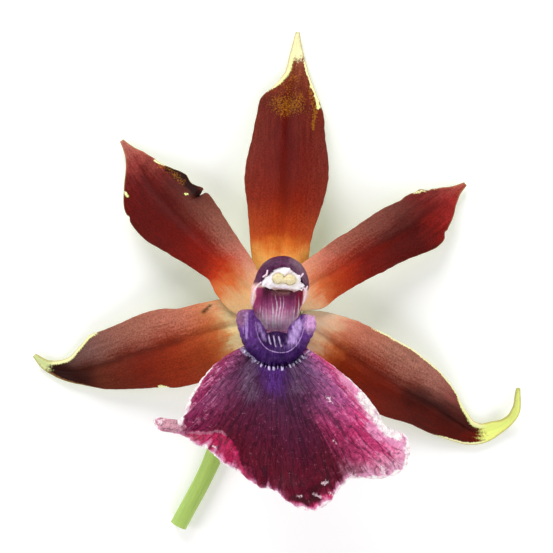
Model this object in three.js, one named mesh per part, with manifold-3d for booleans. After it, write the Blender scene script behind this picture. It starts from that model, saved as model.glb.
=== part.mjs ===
// A zygopetalum orchid flower, picked with its ovary and stalk, lying on its back with its face up.
//
// Millimetres, +Z up. The flower's own axes are: +Y towards the dorsal sepal, -Y towards the lip, +Z out of
// the face. Every shape below is given from the point where the sepals meet the ovary, and one group carries
// them all from there to the part's origin, which is on the surface under the middle of the flower.

import * as THREE from 'three';
import { mergeVertices } from 'three/addons/utils/BufferGeometryUtils.js';
import Module from 'manifold-3d';

const wasm = await Module();
wasm.setup();

// ---------------------------------------------------------------- driving dimensions

const FACE_HEIGHT = 9.5;          // the surface up to the point where the sepals meet
const CENTRE_FROM_MEETING = [-0.555, 5.93];   // that point to the middle of the flower's box, across and up

const TEPAL_MIDDLE = 1.0;         // thickness of a sepal or petal along its midrib
const TEPAL_MARGIN = 0.65;        // and at its edge
const LIP_MIDDLE = 1.1;
const LIP_MARGIN = 0.65;

const SEAM = 0.3;                 // the clearance between one organ and the next
const RECEPTACLE = 3.7;           // radius of the ovary's top, where the sepals sit
const COLUMN_FOOT = 2.5;          // radius of the column where it rises out of the ovary

const TEPAL_STEPS = 24;           // rows of facets along a sepal or petal
const TEPAL_ACROSS = [-1, -0.76, -0.46, -0.16, 0, 0.16, 0.46, 0.76, 1];
const LIP_STEPS = 11;             // rows of facets from the callus to the lip's edge
const LIP_AROUND = 58;            // and along that edge, two to each stretch of it
const SLIVER = 0.01;              // joins leave no facet thinner than this

// ---------------------------------------------------------------- curves

// A smooth value at u from rows of [u, value, value...], for the value in the given column.
function profile(rows, u, column = 1) {
  let k = 0;
  while (k < rows.length - 2 && u > rows[k + 1][0]) k += 1;
  const slope = (i) => {
    const a = rows[Math.max(i - 1, 0)];
    const b = rows[Math.min(i + 1, rows.length - 1)];
    return (b[column] - a[column]) / (b[0] - a[0]);
  };
  const step = rows[k + 1][0] - rows[k][0];
  const t = (u - rows[k][0]) / step;
  const t2 = t * t;
  const t3 = t2 * t;
  return (2 * t3 - 3 * t2 + 1) * rows[k][column] + (t3 - 2 * t2 + t) * step * slope(k)
    + (3 * t2 - 2 * t3) * rows[k + 1][column] + (t3 - t2) * step * slope(k + 1);
}

function curveThrough(points) {
  return new THREE.CatmullRomCurve3(points.map((p) => new THREE.Vector3(...p)), false, 'catmullrom', 0.5);
}

const bell = (x, width) => Math.exp(-((x / width) ** 2));

// ---------------------------------------------------------------- closed solids

function volumeOf(points, faces) {
  let six = 0;
  for (const [a, b, c] of faces) {
    six += points[a].dot(new THREE.Vector3().crossVectors(points[b], points[c]));
  }
  return six / 6;
}

// A geometry from points and triangles, turned so that its faces look outwards.
function solidFrom(points, faces) {
  const outward = volumeOf(points, faces) > 0;
  const geometry = new THREE.BufferGeometry();
  geometry.setAttribute('position', new THREE.Float32BufferAttribute(points.flatMap((p) => p.toArray()), 3));
  geometry.setIndex(faces.flatMap(([a, b, c]) => (outward ? [a, b, c] : [a, c, b])));
  return geometry;
}

// A closed sheet about a grid of middle points. Both faces are split into triangles alike.
function sheet(grid, thicknessAt) {
  const rows = grid.length;
  const columns = grid[0].length;
  const front = [];
  const back = [];
  for (let i = 0; i < rows; i++) {
    for (let j = 0; j < columns; j++) {
      const along = grid[Math.min(i + 1, rows - 1)][j].clone().sub(grid[Math.max(i - 1, 0)][j]);
      const across = grid[i][Math.min(j + 1, columns - 1)].clone().sub(grid[i][Math.max(j - 1, 0)]);
      const normal = along.cross(across).normalize();
      const half = thicknessAt(i / (rows - 1), j / (columns - 1)) / 2;
      front.push(grid[i][j].clone().addScaledVector(normal, half));
      back.push(grid[i][j].clone().addScaledVector(normal, -half));
    }
  }
  const count = front.length;
  const faces = [];
  const at = (i, j) => i * columns + j;
  for (let i = 0; i < rows - 1; i++) {
    for (let j = 0; j < columns - 1; j++) {
      const [a, b, c, d] = [at(i, j), at(i + 1, j), at(i + 1, j + 1), at(i, j + 1)];
      faces.push([a, b, c], [a, c, d]);
      faces.push([a + count, c + count, b + count], [a + count, d + count, c + count]);
    }
  }
  const rim = [];
  for (let j = 0; j < columns - 1; j++) rim.push(at(0, j));
  for (let i = 0; i < rows - 1; i++) rim.push(at(i, columns - 1));
  for (let j = columns - 1; j > 0; j--) rim.push(at(rows - 1, j));
  for (let i = rows - 1; i > 0; i--) rim.push(at(i, 0));
  rim.forEach((a, k) => {
    const b = rim[(k + 1) % rim.length];
    faces.push([a, b, b + count], [a, b + count, a + count]);
  });
  return solidFrom([...front, ...back], faces);
}

// A closed solid through rings of points, with a flat fan over each end.
function loft(rings) {
  const around = rings[0].length;
  const points = rings.flat();
  const faces = [];
  for (let i = 0; i < rings.length - 1; i++) {
    for (let j = 0; j < around; j++) {
      const a = i * around + j;
      const b = i * around + ((j + 1) % around);
      faces.push([a, b, b + around], [a, b + around, a + around]);
    }
  }
  for (const [first, turn] of [[0, 1], [(rings.length - 1) * around, -1]]) {
    const middle = new THREE.Vector3();
    for (let j = 0; j < around; j++) middle.addScaledVector(points[first + j], 1 / around);
    points.push(middle);
    for (let j = 0; j < around; j++) {
      const a = first + j;
      const b = first + ((j + 1) % around);
      faces.push(turn > 0 ? [b, a, points.length - 1] : [a, b, points.length - 1]);
    }
  }
  return solidFrom(points, faces);
}

// Rings about a curve. section(u, angle) gives the distance to the right and up in the ring's own plane,
// where "up" starts as near to the given direction as the curve allows.
function sweep(points, steps, around, up, section) {
  const curve = curveThrough(points);
  const rings = [];
  for (let i = 0; i <= steps; i++) {
    const u = i / steps;
    const middle = curve.getPointAt(u);
    const ahead = curve.getTangentAt(u);
    const rise = up.clone().addScaledVector(ahead, -up.dot(ahead)).normalize();
    const side = new THREE.Vector3().crossVectors(ahead, rise);
    const ring = [];
    for (let j = 0; j < around; j++) {
      const [x, y] = section(u, (j / around) * 2 * Math.PI);
      ring.push(middle.clone().addScaledVector(side, x).addScaledVector(rise, y));
    }
    rings.push(ring);
  }
  return loft(rings);
}

function ellipsoid(middle, radii, across = 16, down = 10) {
  const geometry = new THREE.SphereGeometry(1, across, down);
  geometry.scale(...radii);
  geometry.translate(...middle);
  geometry.deleteAttribute('normal');
  geometry.deleteAttribute('uv');
  return mergeVertices(geometry);
}

// ---------------------------------------------------------------- joining and cutting

function asManifold(geometry) {
  return new wasm.Manifold(new wasm.Mesh({
    numProp: 3,
    vertProperties: new Float32Array(geometry.getAttribute('position').array),
    triVerts: new Uint32Array(geometry.getIndex().array),
  }));
}

// The largest body of a join: a hollow that the join sealed is filled, and a loose scrap is dropped.
function asGeometry(manifold) {
  const body = manifold.decompose().reduce((a, b) => (a.volume() > b.volume() ? a : b));
  const { vertProperties, triVerts } = body.simplify(SLIVER).getMesh();
  const geometry = new THREE.BufferGeometry();
  geometry.setAttribute('position', new THREE.Float32BufferAttribute(vertProperties, 3));
  geometry.setIndex([...triVerts]);
  return geometry;
}

// What reaches below the surface that the flower lies on is pressed flat against it.
function resting(geometry) {
  const position = geometry.getAttribute('position');
  for (let i = 0; i < position.count; i++) position.setZ(i, Math.max(position.getZ(i), -FACE_HEIGHT));
  return geometry;
}

// ---------------------------------------------------------------- sepals and petals

// spine: the midrib from base to tip. widths: [fraction along, half width on the left, on the right], seen
// from the face with the base below. arch: [fraction, how far the edges bend back], below zero if they stand
// forward.
function tepal({ spine, widths, arch, groove, wave }) {
  const curve = curveThrough(spine);
  const out = new THREE.Vector3(0, 0, 1);
  const grid = [];
  for (let i = 0; i <= TEPAL_STEPS; i++) {
    const u = i / TEPAL_STEPS;
    const ahead = curve.getTangentAt(u);
    const face = out.clone().addScaledVector(ahead, -out.dot(ahead)).normalize();
    const right = new THREE.Vector3().crossVectors(ahead, face);
    grid.push(TEPAL_ACROSS.map((s) => {
      const reach = s < 0 ? profile(widths, u, 1) : profile(widths, u, 2);
      const rise = -profile(arch, u) * s * s - groove * bell(s, 0.12) * Math.min(u * 8, 1) * (1 - u ** 6)
        + wave * Math.sin(u * 17 + (s < 0 ? 0 : 2)) * Math.abs(s) ** 3 * Math.sin(Math.PI * u);
      return curve.getPointAt(u).addScaledVector(right, s * reach).addScaledVector(face, rise);
    }));
  }
  const edge = (v) => Math.abs(TEPAL_ACROSS[Math.round(v * (TEPAL_ACROSS.length - 1))]);
  return resting(sheet(grid, (u, v) => TEPAL_MIDDLE + (TEPAL_MARGIN - TEPAL_MIDDLE) * edge(v) ** 2));
}

const dorsalSepal = {
  spine: [
    [0, 2.9, 0.1], [0.2, 9, 0.3], [0.9, 15.3, -0.1], [1.4, 21.3, -1.3], [1.6, 27.4, -3.2],
    [1.7, 32.8, -5.2], [2.1, 37.3, -7.0], [2.5, 41.9, -8.7], [3, 45.9, -9.0], [3.3, 49.4, -8.2],
  ],
  widths: [
    [0, 2.3, 2.3], [0.04, 3.3, 3.6], [0.13, 4.8, 4.8], [0.23, 5.9, 4.9], [0.33, 6.7, 6.0], [0.43, 7.4, 7.0],
    [0.5, 7.3, 7.0], [0.59, 6.4, 6.5], [0.69, 5.6, 6.0], [0.74, 5.2, 5.0], [0.79, 3.1, 3.9],
    [0.845, 1.5, 2.8], [0.9, 1.1, 1.8], [0.95, 0.75, 0.9], [1, 0.35, 0.35],
  ],
  arch: [[0, 0.2], [0.15, 0.9], [0.35, 1.6], [0.55, 1.3], [0.7, 0.3], [0.82, -0.5], [0.92, -0.35], [1, -0.1]],
  groove: 0.5,
  wave: 0.2,
};

const lateralSepalLeft = {
  spine: [
    [-3.0, -0.7, 0.1], [-6.6, -1.7, 0.3], [-11.7, -2.9, 0.0], [-16.9, -4.5, -1.1], [-22.1, -5.9, -2.9],
    [-27.5, -7.7, -5.2], [-32, -9.2, -7.2], [-36.6, -10.2, -8.9], [-40.5, -9.5, -9.0], [-42.8, -7.2, -7.6],
  ],
  widths: [
    [0, 2.3, 2.3], [0.1, 4.4, 4.7], [0.2, 6.0, 5.1], [0.3, 7.7, 5.4], [0.4, 7.7, 6.2], [0.5, 6.8, 6.2],
    [0.6, 5.8, 5.7], [0.7, 4.3, 5.6], [0.75, 3.3, 4.3], [0.8, 2.2, 3.0], [0.85, 1.3, 2.3], [0.92, 0.8, 1.4],
    [1, 0.35, 0.35],
  ],
  arch: [[0, 0.2], [0.15, 1.0], [0.35, 1.8], [0.55, 1.3], [0.7, 0.2], [0.82, -0.7], [0.92, -0.5], [1, -0.1]],
  groove: 0.5,
  wave: 0.2,
};

const lateralSepalRight = {
  spine: [
    [3.05, -1.15, 0.1], [6.1, -2.9, 0.3], [10.4, -5.9, 0.0], [15.5, -9.4, -1.0], [20.7, -12.4, -2.7],
    [26.1, -15.5, -5.2], [30.7, -18.5, -7.5], [34, -20.5, -8.8], [37, -20.6, -9.0], [39.8, -19.1, -8.2],
    [41.2, -16.6, -6.6], [41.3, -12.7, -4.0],
  ],
  widths: [
    [0, 2.3, 2.3], [0.1, 4.7, 4.6], [0.2, 6.0, 5.2], [0.3, 6.7, 5.9], [0.4, 6.7, 6.0], [0.5, 5.9, 4.9],
    [0.55, 5.1, 4.6], [0.6, 4.1, 4.3], [0.65, 2.8, 3.7], [0.7, 1.7, 3.1], [0.75, 1.5, 2.2], [0.8, 1.5, 1.2],
    [0.85, 1.0, 0.8], [0.92, 0.6, 0.7], [1, 0.35, 0.35],
  ],
  arch: [[0, 0.2], [0.15, 1.0], [0.35, 1.7], [0.5, 1.0], [0.62, 0.1], [0.75, -0.5], [0.9, -0.3], [1, -0.1]],
  groove: 0.5,
  wave: 0.2,
};

const petalLeft = {
  spine: [
    [-2.5, 1.9, 1.7], [-6.1, 5.1, 1.8], [-8.8, 8.5, 1.3], [-12.6, 12.2, 0.0], [-15.9, 15.5, -1.9],
    [-19.7, 19.4, -4.3], [-22.8, 23.3, -6.5], [-25.5, 27.3, -8.2], [-27.6, 30.4, -8.3],
  ],
  widths: [
    [0, 2.1, 2.1], [0.06, 4.4, 3.1], [0.16, 4.5, 3.7], [0.26, 4.1, 4.3], [0.36, 4.8, 5.2], [0.46, 5.7, 6.0],
    [0.56, 6.7, 6.5], [0.65, 7.1, 6.0], [0.7, 6.7, 5.7], [0.75, 6.0, 4.7], [0.8, 4.4, 3.6], [0.85, 2.9, 2.9],
    [0.9, 1.6, 2.1], [0.95, 0.75, 1.0], [1, 0.35, 0.35],
  ],
  arch: [[0, 0.1], [0.15, 0.5], [0.35, 1.2], [0.55, 1.2], [0.7, 0.3], [0.82, -0.6], [0.92, -0.4], [1, -0.1]],
  groove: 0.4,
  wave: 0.2,
};

const petalRight = {
  spine: [
    [2.4, 2.2, 1.7], [5.6, 5.1, 1.8], [9.5, 7.3, 1.3], [13.8, 10, 0.0], [18.2, 12.6, -2.1],
    [22.7, 15.3, -4.5], [27.2, 18.5, -7.0], [30.3, 20.8, -8.2], [32.7, 22.8, -8.3],
  ],
  widths: [
    [0, 2.1, 2.1], [0.08, 3.6, 4.2], [0.2, 4.4, 3.9], [0.3, 4.7, 4.0], [0.4, 4.7, 4.2], [0.5, 4.9, 4.5],
    [0.6, 5.0, 4.9], [0.7, 4.7, 5.6], [0.75, 4.6, 5.3], [0.8, 4.2, 4.2], [0.85, 3.0, 3.3], [0.9, 2.1, 2.0],
    [0.95, 1.1, 0.85], [1, 0.35, 0.35],
  ],
  arch: [[0, 0.1], [0.15, 0.5], [0.35, 1.1], [0.55, 1.1], [0.7, 0.3], [0.82, -0.6], [0.92, -0.4], [1, -0.1]],
  groove: 0.4,
  wave: 0.2,
};

// ---------------------------------------------------------------- lip with its callus

// The lip's edge from the left end of the callus, round below, to the right end.
const LIP_EDGE = [
  [-5.6, -5.6, 6.4], [-8.1, -6.4, 6.8], [-10.9, -8.5, 7.6], [-13.3, -11.3, 8.0], [-15.1, -14.4, 8.0],
  [-16.3, -17.3, 8.0], [-20.2, -16.8, 7.8], [-20.2, -18.2, 8.0], [-16.0, -19.4, 9.0], [-13.9, -21.1, 10.0],
  [-11.8, -21.8, 10.4], [-9.6, -23.7, 10.8], [-7.0, -25.1, 11.0], [-3.1, -27.7, 11.4], [-0.7, -28.3, 11.6],
  [1.4, -30.0, 12.0], [4.7, -31.2, 12.8], [7.6, -30.2, 12.4], [10.1, -27.7, 11.4], [11.6, -26.5, 11.0],
  [16.1, -26.5, 10.6], [20.0, -25.3, 10.2], [21.2, -22.7, 10.0], [20.9, -19.8, 9.6], [17.6, -18.3, 9.0],
  [16.0, -15.4, 8.4], [13.8, -12.7, 8.0], [10.9, -10.1, 7.6], [7.6, -7.6, 7.0], [3.9, -5.6, 6.4],
];
// How far the lines from the root to the edge bow downwards, so that the narrow flap on the left and the
// broad lobe on the right stand out sideways: [fraction round the edge, distance].
const LIP_BOW = [
  [0, 0], [0.13, 0.1], [0.19, 1.3], [0.225, 2.5], [0.27, 1.6], [0.34, 0.3], [0.5, 0], [0.7, 0.2], [0.76, 0.7],
  [0.8, 1.2], [0.85, 0.5], [0.92, 0], [1, 0],
];
const LIP_ROOT = { middle: [-0.7, -4.4, 6.0], reach: [3.4, 2.4] };
const LIP_CREST = 6.2;            // how far the blade bulges forward between its root and its edge
const LIP_FRILL = 1.0;            // how far the frill at its edge stands to either side

function lipPoint(u, v, edge) {
  const angle = Math.PI * (1 + v);
  const root = new THREE.Vector3(
    LIP_ROOT.middle[0] + LIP_ROOT.reach[0] * Math.cos(angle),
    LIP_ROOT.middle[1] + LIP_ROOT.reach[1] * Math.sin(angle),
    LIP_ROOT.middle[2],
  );
  const point = root.lerp(edge.getPoint(v), u);
  point.y -= profile(LIP_BOW, v) * Math.sin(Math.PI * u ** 2.2);
  const middle = Math.sin(Math.PI * v);
  point.z += LIP_CREST * (0.35 + 0.65 * middle) * Math.sin(Math.PI * u ** 0.85);
  const waves = 7.5 * v + 0.35 * Math.sin(2 * Math.PI * v);
  point.z += LIP_FRILL * middle * u ** 5 * Math.sin(2 * Math.PI * waves);
  return point;
}

function lipBlade() {
  const edge = curveThrough(LIP_EDGE);
  const grid = [];
  for (let i = 0; i <= LIP_STEPS; i++) {
    const row = [];
    for (let j = 0; j <= LIP_AROUND; j++) row.push(lipPoint(i / LIP_STEPS, j / LIP_AROUND, edge));
    grid.push(row);
  }
  return sheet(grid, (u) => LIP_MIDDLE + (LIP_MARGIN - LIP_MIDDLE) * u ** 2);
}

// The callus is a fleshy horseshoe that stands on the lip's root. Its ends are two ears beside the column.
const CALLUS_WALL = {
  spine: [
    [-5.5, 0.9, 9.8], [-5.3, -1.0, 9.2], [-4.6, -4.0, 8.6], [-2.9, -5.9, 8.4], [-0.7, -6.4, 8.4],
    [1.5, -6.0, 8.4], [3.3, -4.3, 8.6], [4.3, -1.8, 9.2], [4.7, 0.1, 9.8],
  ],
  wide: [[0, 1.1], [0.08, 1.7], [0.2, 1.45], [0.5, 1.7], [0.8, 1.45], [0.92, 1.7], [1, 1.1]],
  tall: [[0, 0.9], [0.1, 1.9], [0.25, 2.2], [0.5, 2.0], [0.75, 2.2], [0.9, 1.9], [1, 0.9]],
};
const CALLUS_SEAT = { middle: [-0.4, -4.9, 6.6], reach: [3.7, 2.3, 1.9] };
// Two cushions swell from the inner side of the horseshoe, and four keels stand between them.
const CALLUS_CUSHIONS = [
  {
    spine: [[3.7, -0.3, 8.9], [3.2, -1.1, 8.9], [2.7, -2.2, 8.8], [2.3, -3.6, 8.6], [1.6, -4.7, 8.4]],
    wide: [[0, 0.5], [0.25, 0.95], [0.5, 1.25], [0.75, 1.05], [1, 0.6]],
    tall: [[0, 0.8], [0.5, 1.35], [1, 0.7]],
  },
  {
    spine: [[-4.1, -0.3, 8.9], [-3.5, -1.2, 8.8], [-3.0, -2.4, 8.6], [-2.5, -3.6, 8.4], [-1.9, -4.6, 8.3]],
    wide: [[0, 0.4], [0.3, 0.65], [0.6, 0.85], [1, 0.5]],
    tall: [[0, 0.8], [0.5, 1.1], [1, 0.6]],
  },
];
const CALLUS_KEELS = [
  [[-1.75, -2.9, 7.7], [-1.6, -3.7, 8.25], [-1.4, -4.9, 8.65]],
  [[-0.95, -3.0, 7.7], [-0.85, -3.8, 8.25], [-0.65, -5.1, 8.65]],
  [[-0.1, -3.0, 7.7], [0.05, -3.8, 8.25], [0.25, -5.1, 8.65]],
  [[0.8, -2.9, 7.7], [0.85, -3.7, 8.25], [0.95, -4.9, 8.65]],
];
const KEEL = [0.3, 0.5];          // half the width and half the height of a keel

// A bar with an oval section, as wide and as tall as its profiles say.
function ovalBar({ spine, wide, tall }, steps, around) {
  return sweep(spine, steps, around, new THREE.Vector3(0, 0, 1), (u, angle) => [
    profile(wide, u) * Math.cos(angle),
    profile(tall, u) * Math.sin(angle),
  ]);
}

function callus() {
  const wall = ovalBar(CALLUS_WALL, 20, 12);
  const seat = ellipsoid(CALLUS_SEAT.middle, CALLUS_SEAT.reach, 20, 10);
  const cushions = CALLUS_CUSHIONS.map((cushion) => ovalBar(cushion, 8, 10));
  const [wide, tall] = KEEL.map((half) => [[0, half * 0.6], [0.5, half], [1, half * 0.6]]);
  const keels = CALLUS_KEELS.map((spine) => ovalBar({ spine, wide, tall }, 4, 6));
  return [wall, seat, ...cushions, ...keels].map(asManifold).reduce((a, b) => a.add(b));
}

// The lip keeps clear of the column, but its keels and cushions stand in the trough down the column's face.
function lip() {
  const roomForColumn = asManifold(columnBody(SEAM)).add(asManifold(columnFoot(SEAM)))
    .subtract(asManifold(trough(-SEAM)));
  return asGeometry(asManifold(lipBlade()).add(callus()).subtract(roomForColumn));
}

// ---------------------------------------------------------------- column, anther cap and pollinarium

const COLUMN_MIDDLE = 0.2;        // the column leans a little to the right of the midline
const COLUMN_AXIS = [
  [0, 0.0, -0.6], [-0.1, 0.1, 1.8], [-0.3, 0.6, 3.6], [-0.6, 1.8, 5.8], [-0.6, 3.2, 7.9], [-0.3, 4.6, 9.8],
];
const COLUMN_WIDE = [[0, COLUMN_FOOT], [0.2, 2.6], [0.45, 3.6], [0.7, 4.2], [1, 4.5]];
const COLUMN_BACK = [[0, COLUMN_FOOT], [0.2, 2.4], [0.6, 2.3], [1, 2.6]];
const COLUMN_FACE = [[0, COLUMN_FOOT], [0.2, 2.5], [0.42, 3.7], [0.6, 3.5], [0.8, 3.0], [1, 2.6]];
const FOOT_AXIS = [[0.1, 0, 1.7], [0.0, -2.6, 2.4], [-0.2, -4.6, 2.8], [-0.4, -6.0, 2.9]];
const FOOT_REACH = [2.5, 0.95];   // half the width and half the height of the foot that carries the lip
// The trough down the column's face: [height, middle from side to side, half width]. Its floor leans at 45
// degrees: it is TROUGH_BACK nearer to the lip than it is high.
const TROUGH = [
  [0, -0.1, 2.2], [2, -0.1, 2.2], [5, -0.4, 2.7], [6, -0.4, 3.3], [9, -0.4, 3.8], [11.5, 0.1, 3.7],
  [16, 0.2, 3.6],
];
const TROUGH_BACK = 7.3;
const TROUGH_REACH = 12;          // from the floor outwards, past everything that it cuts
const HOOD = { middle: [0.45, 5.1, 9.4], reach: [4.5, 4.85, 5.0] };
const HOOD_RIM = { point: [0, 6.2, 12.5], tilt: -0.3 };
const ANTHER = { middle: [0.5, 6.1, 11.9], reach: [3.15, 2.2, 1.35] };
const ANTHER_TAPER = 0.26;        // the cap is narrower by this share at its top and wider at its bottom
const ANTHER_SLANT = 0.12;        // and its lower edge drops by this much to the right
const MOUTH_RISE = 2;             // the hood opens outwards round the anther cap
const MOUTH_GROWTH = 0.5;
const POLLINIA = [[-0.15, 6.25, 13.0], [1.75, 6.05, 13.0]];
const POLLINIUM = [0.95, 0.85, 0.7];
const POLLEN_STALK = { middle: [0.8, 5.95, 13.05], reach: [0.8, 0.45, 0.4] };

function grown(radii, by) {
  return radii.map((r) => r + by);
}

function columnBody(growth = 0) {
  const body = sweep(COLUMN_AXIS, 10, 20, new THREE.Vector3(0, 1, 0), (u, angle) => {
    const [x, y] = [Math.cos(angle), Math.sin(angle)];
    const flat = y < 0 ? Math.sign(y) * Math.abs(y) ** 0.55 : y;
    const deep = y < 0 ? profile(COLUMN_FACE, u) : profile(COLUMN_BACK, u);
    return [(profile(COLUMN_WIDE, u) + growth) * x, (deep + growth) * flat];
  });
  body.translate(COLUMN_MIDDLE, 0, 0);
  return body;
}

function columnFoot(growth = 0) {
  return sweep(FOOT_AXIS, 6, 12, new THREE.Vector3(0, 0, 1), (u, angle) => [
    (FOOT_REACH[0] + growth) * Math.cos(angle) * (1 - 0.25 * u),
    (FOOT_REACH[1] + growth) * Math.sin(angle),
  ]);
}

// The space of the trough. It is larger on all sides by growth.
function trough(growth = 0) {
  return loft(TROUGH.map(([z, middle, half]) => {
    const floor = z - TROUGH_BACK + growth * Math.SQRT2;
    const [left, right] = [middle - half - growth, middle + half + growth];
    return [[left, floor], [right, floor], [right, floor - TROUGH_REACH], [left, floor - TROUGH_REACH]]
      .map(([x, y]) => new THREE.Vector3(x, y, z));
  }));
}

function column() {
  const slab = new THREE.BoxGeometry(20, 20, 10);
  slab.translate(0, 0, 5);
  slab.rotateX(-HOOD_RIM.tilt);
  slab.translate(...HOOD_RIM.point);
  slab.deleteAttribute('normal');
  slab.deleteAttribute('uv');
  const dome = asManifold(ellipsoid(HOOD.middle, HOOD.reach, 24, 14));
  const hood = dome.subtract(asManifold(mergeVertices(slab)));
  const bed = asManifold(capForm(SEAM));
  const mouth = asManifold(capForm(MOUTH_GROWTH)).translate([0, 0, MOUTH_RISE]);
  const whole = asManifold(columnBody()).add(asManifold(columnFoot())).add(hood);
  return asGeometry(whole.subtract(bed).subtract(mouth).subtract(asManifold(trough())));
}

// The form of the anther cap, larger on all sides by growth. dentAt(x, y) pulls its outline in by a share.
function capForm(growth = 0, dentAt = () => 0) {
  const cap = ellipsoid([0, 0, ANTHER.middle[2]], grown(ANTHER.reach, growth), 20, 12);
  const position = cap.getAttribute('position');
  for (let i = 0; i < position.count; i++) {
    const up = position.getY(i) / ANTHER.reach[1];
    const dent = dentAt(position.getX(i) / ANTHER.reach[0], up);
    const x = position.getX(i) * (1 - ANTHER_TAPER * up) * (1 - dent * 0.6);
    const drop = ANTHER_SLANT * x * Math.min(Math.max(-up, 0), 1);
    position.setX(i, ANTHER.middle[0] + x);
    position.setY(i, ANTHER.middle[1] + position.getY(i) * (1 - dent) - drop);
  }
  return cap;
}

// Two lobes side by side, with a lumpy outline.
function antherCap() {
  const cleft = (x, y) => 0.22 * bell(x, 0.16) * bell(y + 0.2, 0.9);
  const lumps = (x, y) => 0.05 * (1 + Math.sin(9 * Math.atan2(y, x)));
  const cap = capForm(0, (x, y) => cleft(x, y) + lumps(x, y));
  return asGeometry(asManifold(cap).subtract(pollenMasses(SEAM)));
}

// The two pollen masses on their short common stalk.
function pollenMasses(growth = 0) {
  const [left, right, stalk] = [
    [POLLINIA[0], POLLINIUM],
    [POLLINIA[1], POLLINIUM],
    [POLLEN_STALK.middle, POLLEN_STALK.reach],
  ].map(([middle, reach]) => asManifold(ellipsoid(middle, grown(reach, growth), 12, 8)));
  return left.add(right).add(stalk);
}

// ---------------------------------------------------------------- ovary and stalk

const STALK_LINE = [
  [0, 0, -0.9], [0, -0.1, -2.6], [-0.6, -1.5, -5.0], [-2.2, -4.8, -6.9], [-4.6, -9.4, -7.25],
  [-8.4, -17.4, -7.75], [-12.6, -27.6, -7.95], [-17.6, -37.0, -7.9],
];
const STALK_RADIUS = [
  [0, RECEPTACLE], [0.05, 2.9], [0.15, 2.6], [0.3, 2.45], [0.45, 2.2], [0.6, 1.75], [0.8, 1.5], [1, 1.5],
];
const STALK_SIDE = new THREE.Vector3(0.9, -0.42, 0);   // level, and square to the way the stalk runs
const OVARY_RIBS = [[0, 0.04], [0.1, 0.1], [0.4, 0.1], [0.6, 0.03], [1, 0]];

function ovaryAndStalk() {
  return resting(sweep(STALK_LINE, 34, 18, STALK_SIDE, (u, angle) => {
    const radius = profile(STALK_RADIUS, u) * (1 + profile(OVARY_RIBS, u) * Math.cos(6 * angle));
    return [radius * Math.cos(angle), radius * Math.sin(angle)];
  }));
}

// ---------------------------------------------------------------- the flower

const flower = new THREE.Group();
flower.position.set(CENTRE_FROM_MEETING[0] * -1, CENTRE_FROM_MEETING[1] * -1, FACE_HEIGHT);

function organ(name, geometry, color, roughness) {
  const mesh = new THREE.Mesh(geometry, new THREE.MeshStandardMaterial({ color, roughness, metalness: 0 }));
  mesh.name = name;
  flower.add(mesh);
}

const TEPAL_COLOUR = 0x7a2a1c;
organ('dorsal_sepal', tepal(dorsalSepal), TEPAL_COLOUR, 0.45);
organ('lateral_sepal_left', tepal(lateralSepalLeft), TEPAL_COLOUR, 0.45);
organ('lateral_sepal_right', tepal(lateralSepalRight), TEPAL_COLOUR, 0.45);
organ('petal_left', tepal(petalLeft), TEPAL_COLOUR, 0.45);
organ('petal_right', tepal(petalRight), TEPAL_COLOUR, 0.45);
organ('lip', lip(), 0x6b1f45, 0.5);
organ('column', column(), 0x6a3350, 0.45);
organ('anther_cap', antherCap(), 0xf3e9e4, 0.55);
organ('pollinarium', asGeometry(pollenMasses()), 0xe2cf8a, 0.5);
organ('ovary_and_stalk', ovaryAndStalk(), 0x9fb552, 0.5);

const part = new THREE.Group();
part.add(flower);

export default part;
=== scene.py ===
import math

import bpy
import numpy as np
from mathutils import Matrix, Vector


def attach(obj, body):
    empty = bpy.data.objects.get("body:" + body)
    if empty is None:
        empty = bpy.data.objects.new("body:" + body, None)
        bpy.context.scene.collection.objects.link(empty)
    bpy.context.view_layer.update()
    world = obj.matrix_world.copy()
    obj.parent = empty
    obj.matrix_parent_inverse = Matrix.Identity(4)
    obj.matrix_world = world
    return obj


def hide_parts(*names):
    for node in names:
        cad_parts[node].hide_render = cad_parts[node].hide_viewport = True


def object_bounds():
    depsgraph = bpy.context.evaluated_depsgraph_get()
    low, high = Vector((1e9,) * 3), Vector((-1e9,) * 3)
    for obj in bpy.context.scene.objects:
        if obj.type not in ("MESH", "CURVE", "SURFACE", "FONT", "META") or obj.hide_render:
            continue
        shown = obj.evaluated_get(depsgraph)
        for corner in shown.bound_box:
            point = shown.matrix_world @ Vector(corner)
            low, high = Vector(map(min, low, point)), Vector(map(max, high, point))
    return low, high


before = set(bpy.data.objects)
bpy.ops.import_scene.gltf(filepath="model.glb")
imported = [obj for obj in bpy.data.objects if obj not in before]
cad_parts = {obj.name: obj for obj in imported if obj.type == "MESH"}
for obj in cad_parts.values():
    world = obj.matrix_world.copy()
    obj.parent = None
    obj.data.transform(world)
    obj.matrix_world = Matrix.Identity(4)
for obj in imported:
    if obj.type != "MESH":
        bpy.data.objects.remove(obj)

# The looks of a zygopetalum orchid flower that lies on its back with its face up.
#
# Shapes are worked out in millimetres from the point where the sepals meet the ovary, as in the part's
# source: +Y towards the dorsal sepal, -Y towards the lip, +Z out of the face. place() takes them to metres
# in the frame. Colours are in percent, as a screen shows them.

CAD_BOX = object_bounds()

FACE_HEIGHT = 9.5                       # the surface up to the point where the sepals meet
CENTRE_FROM_MEETING = (-0.555, 5.93)    # that point to the middle of the flower's box
MM = 0.001

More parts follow.
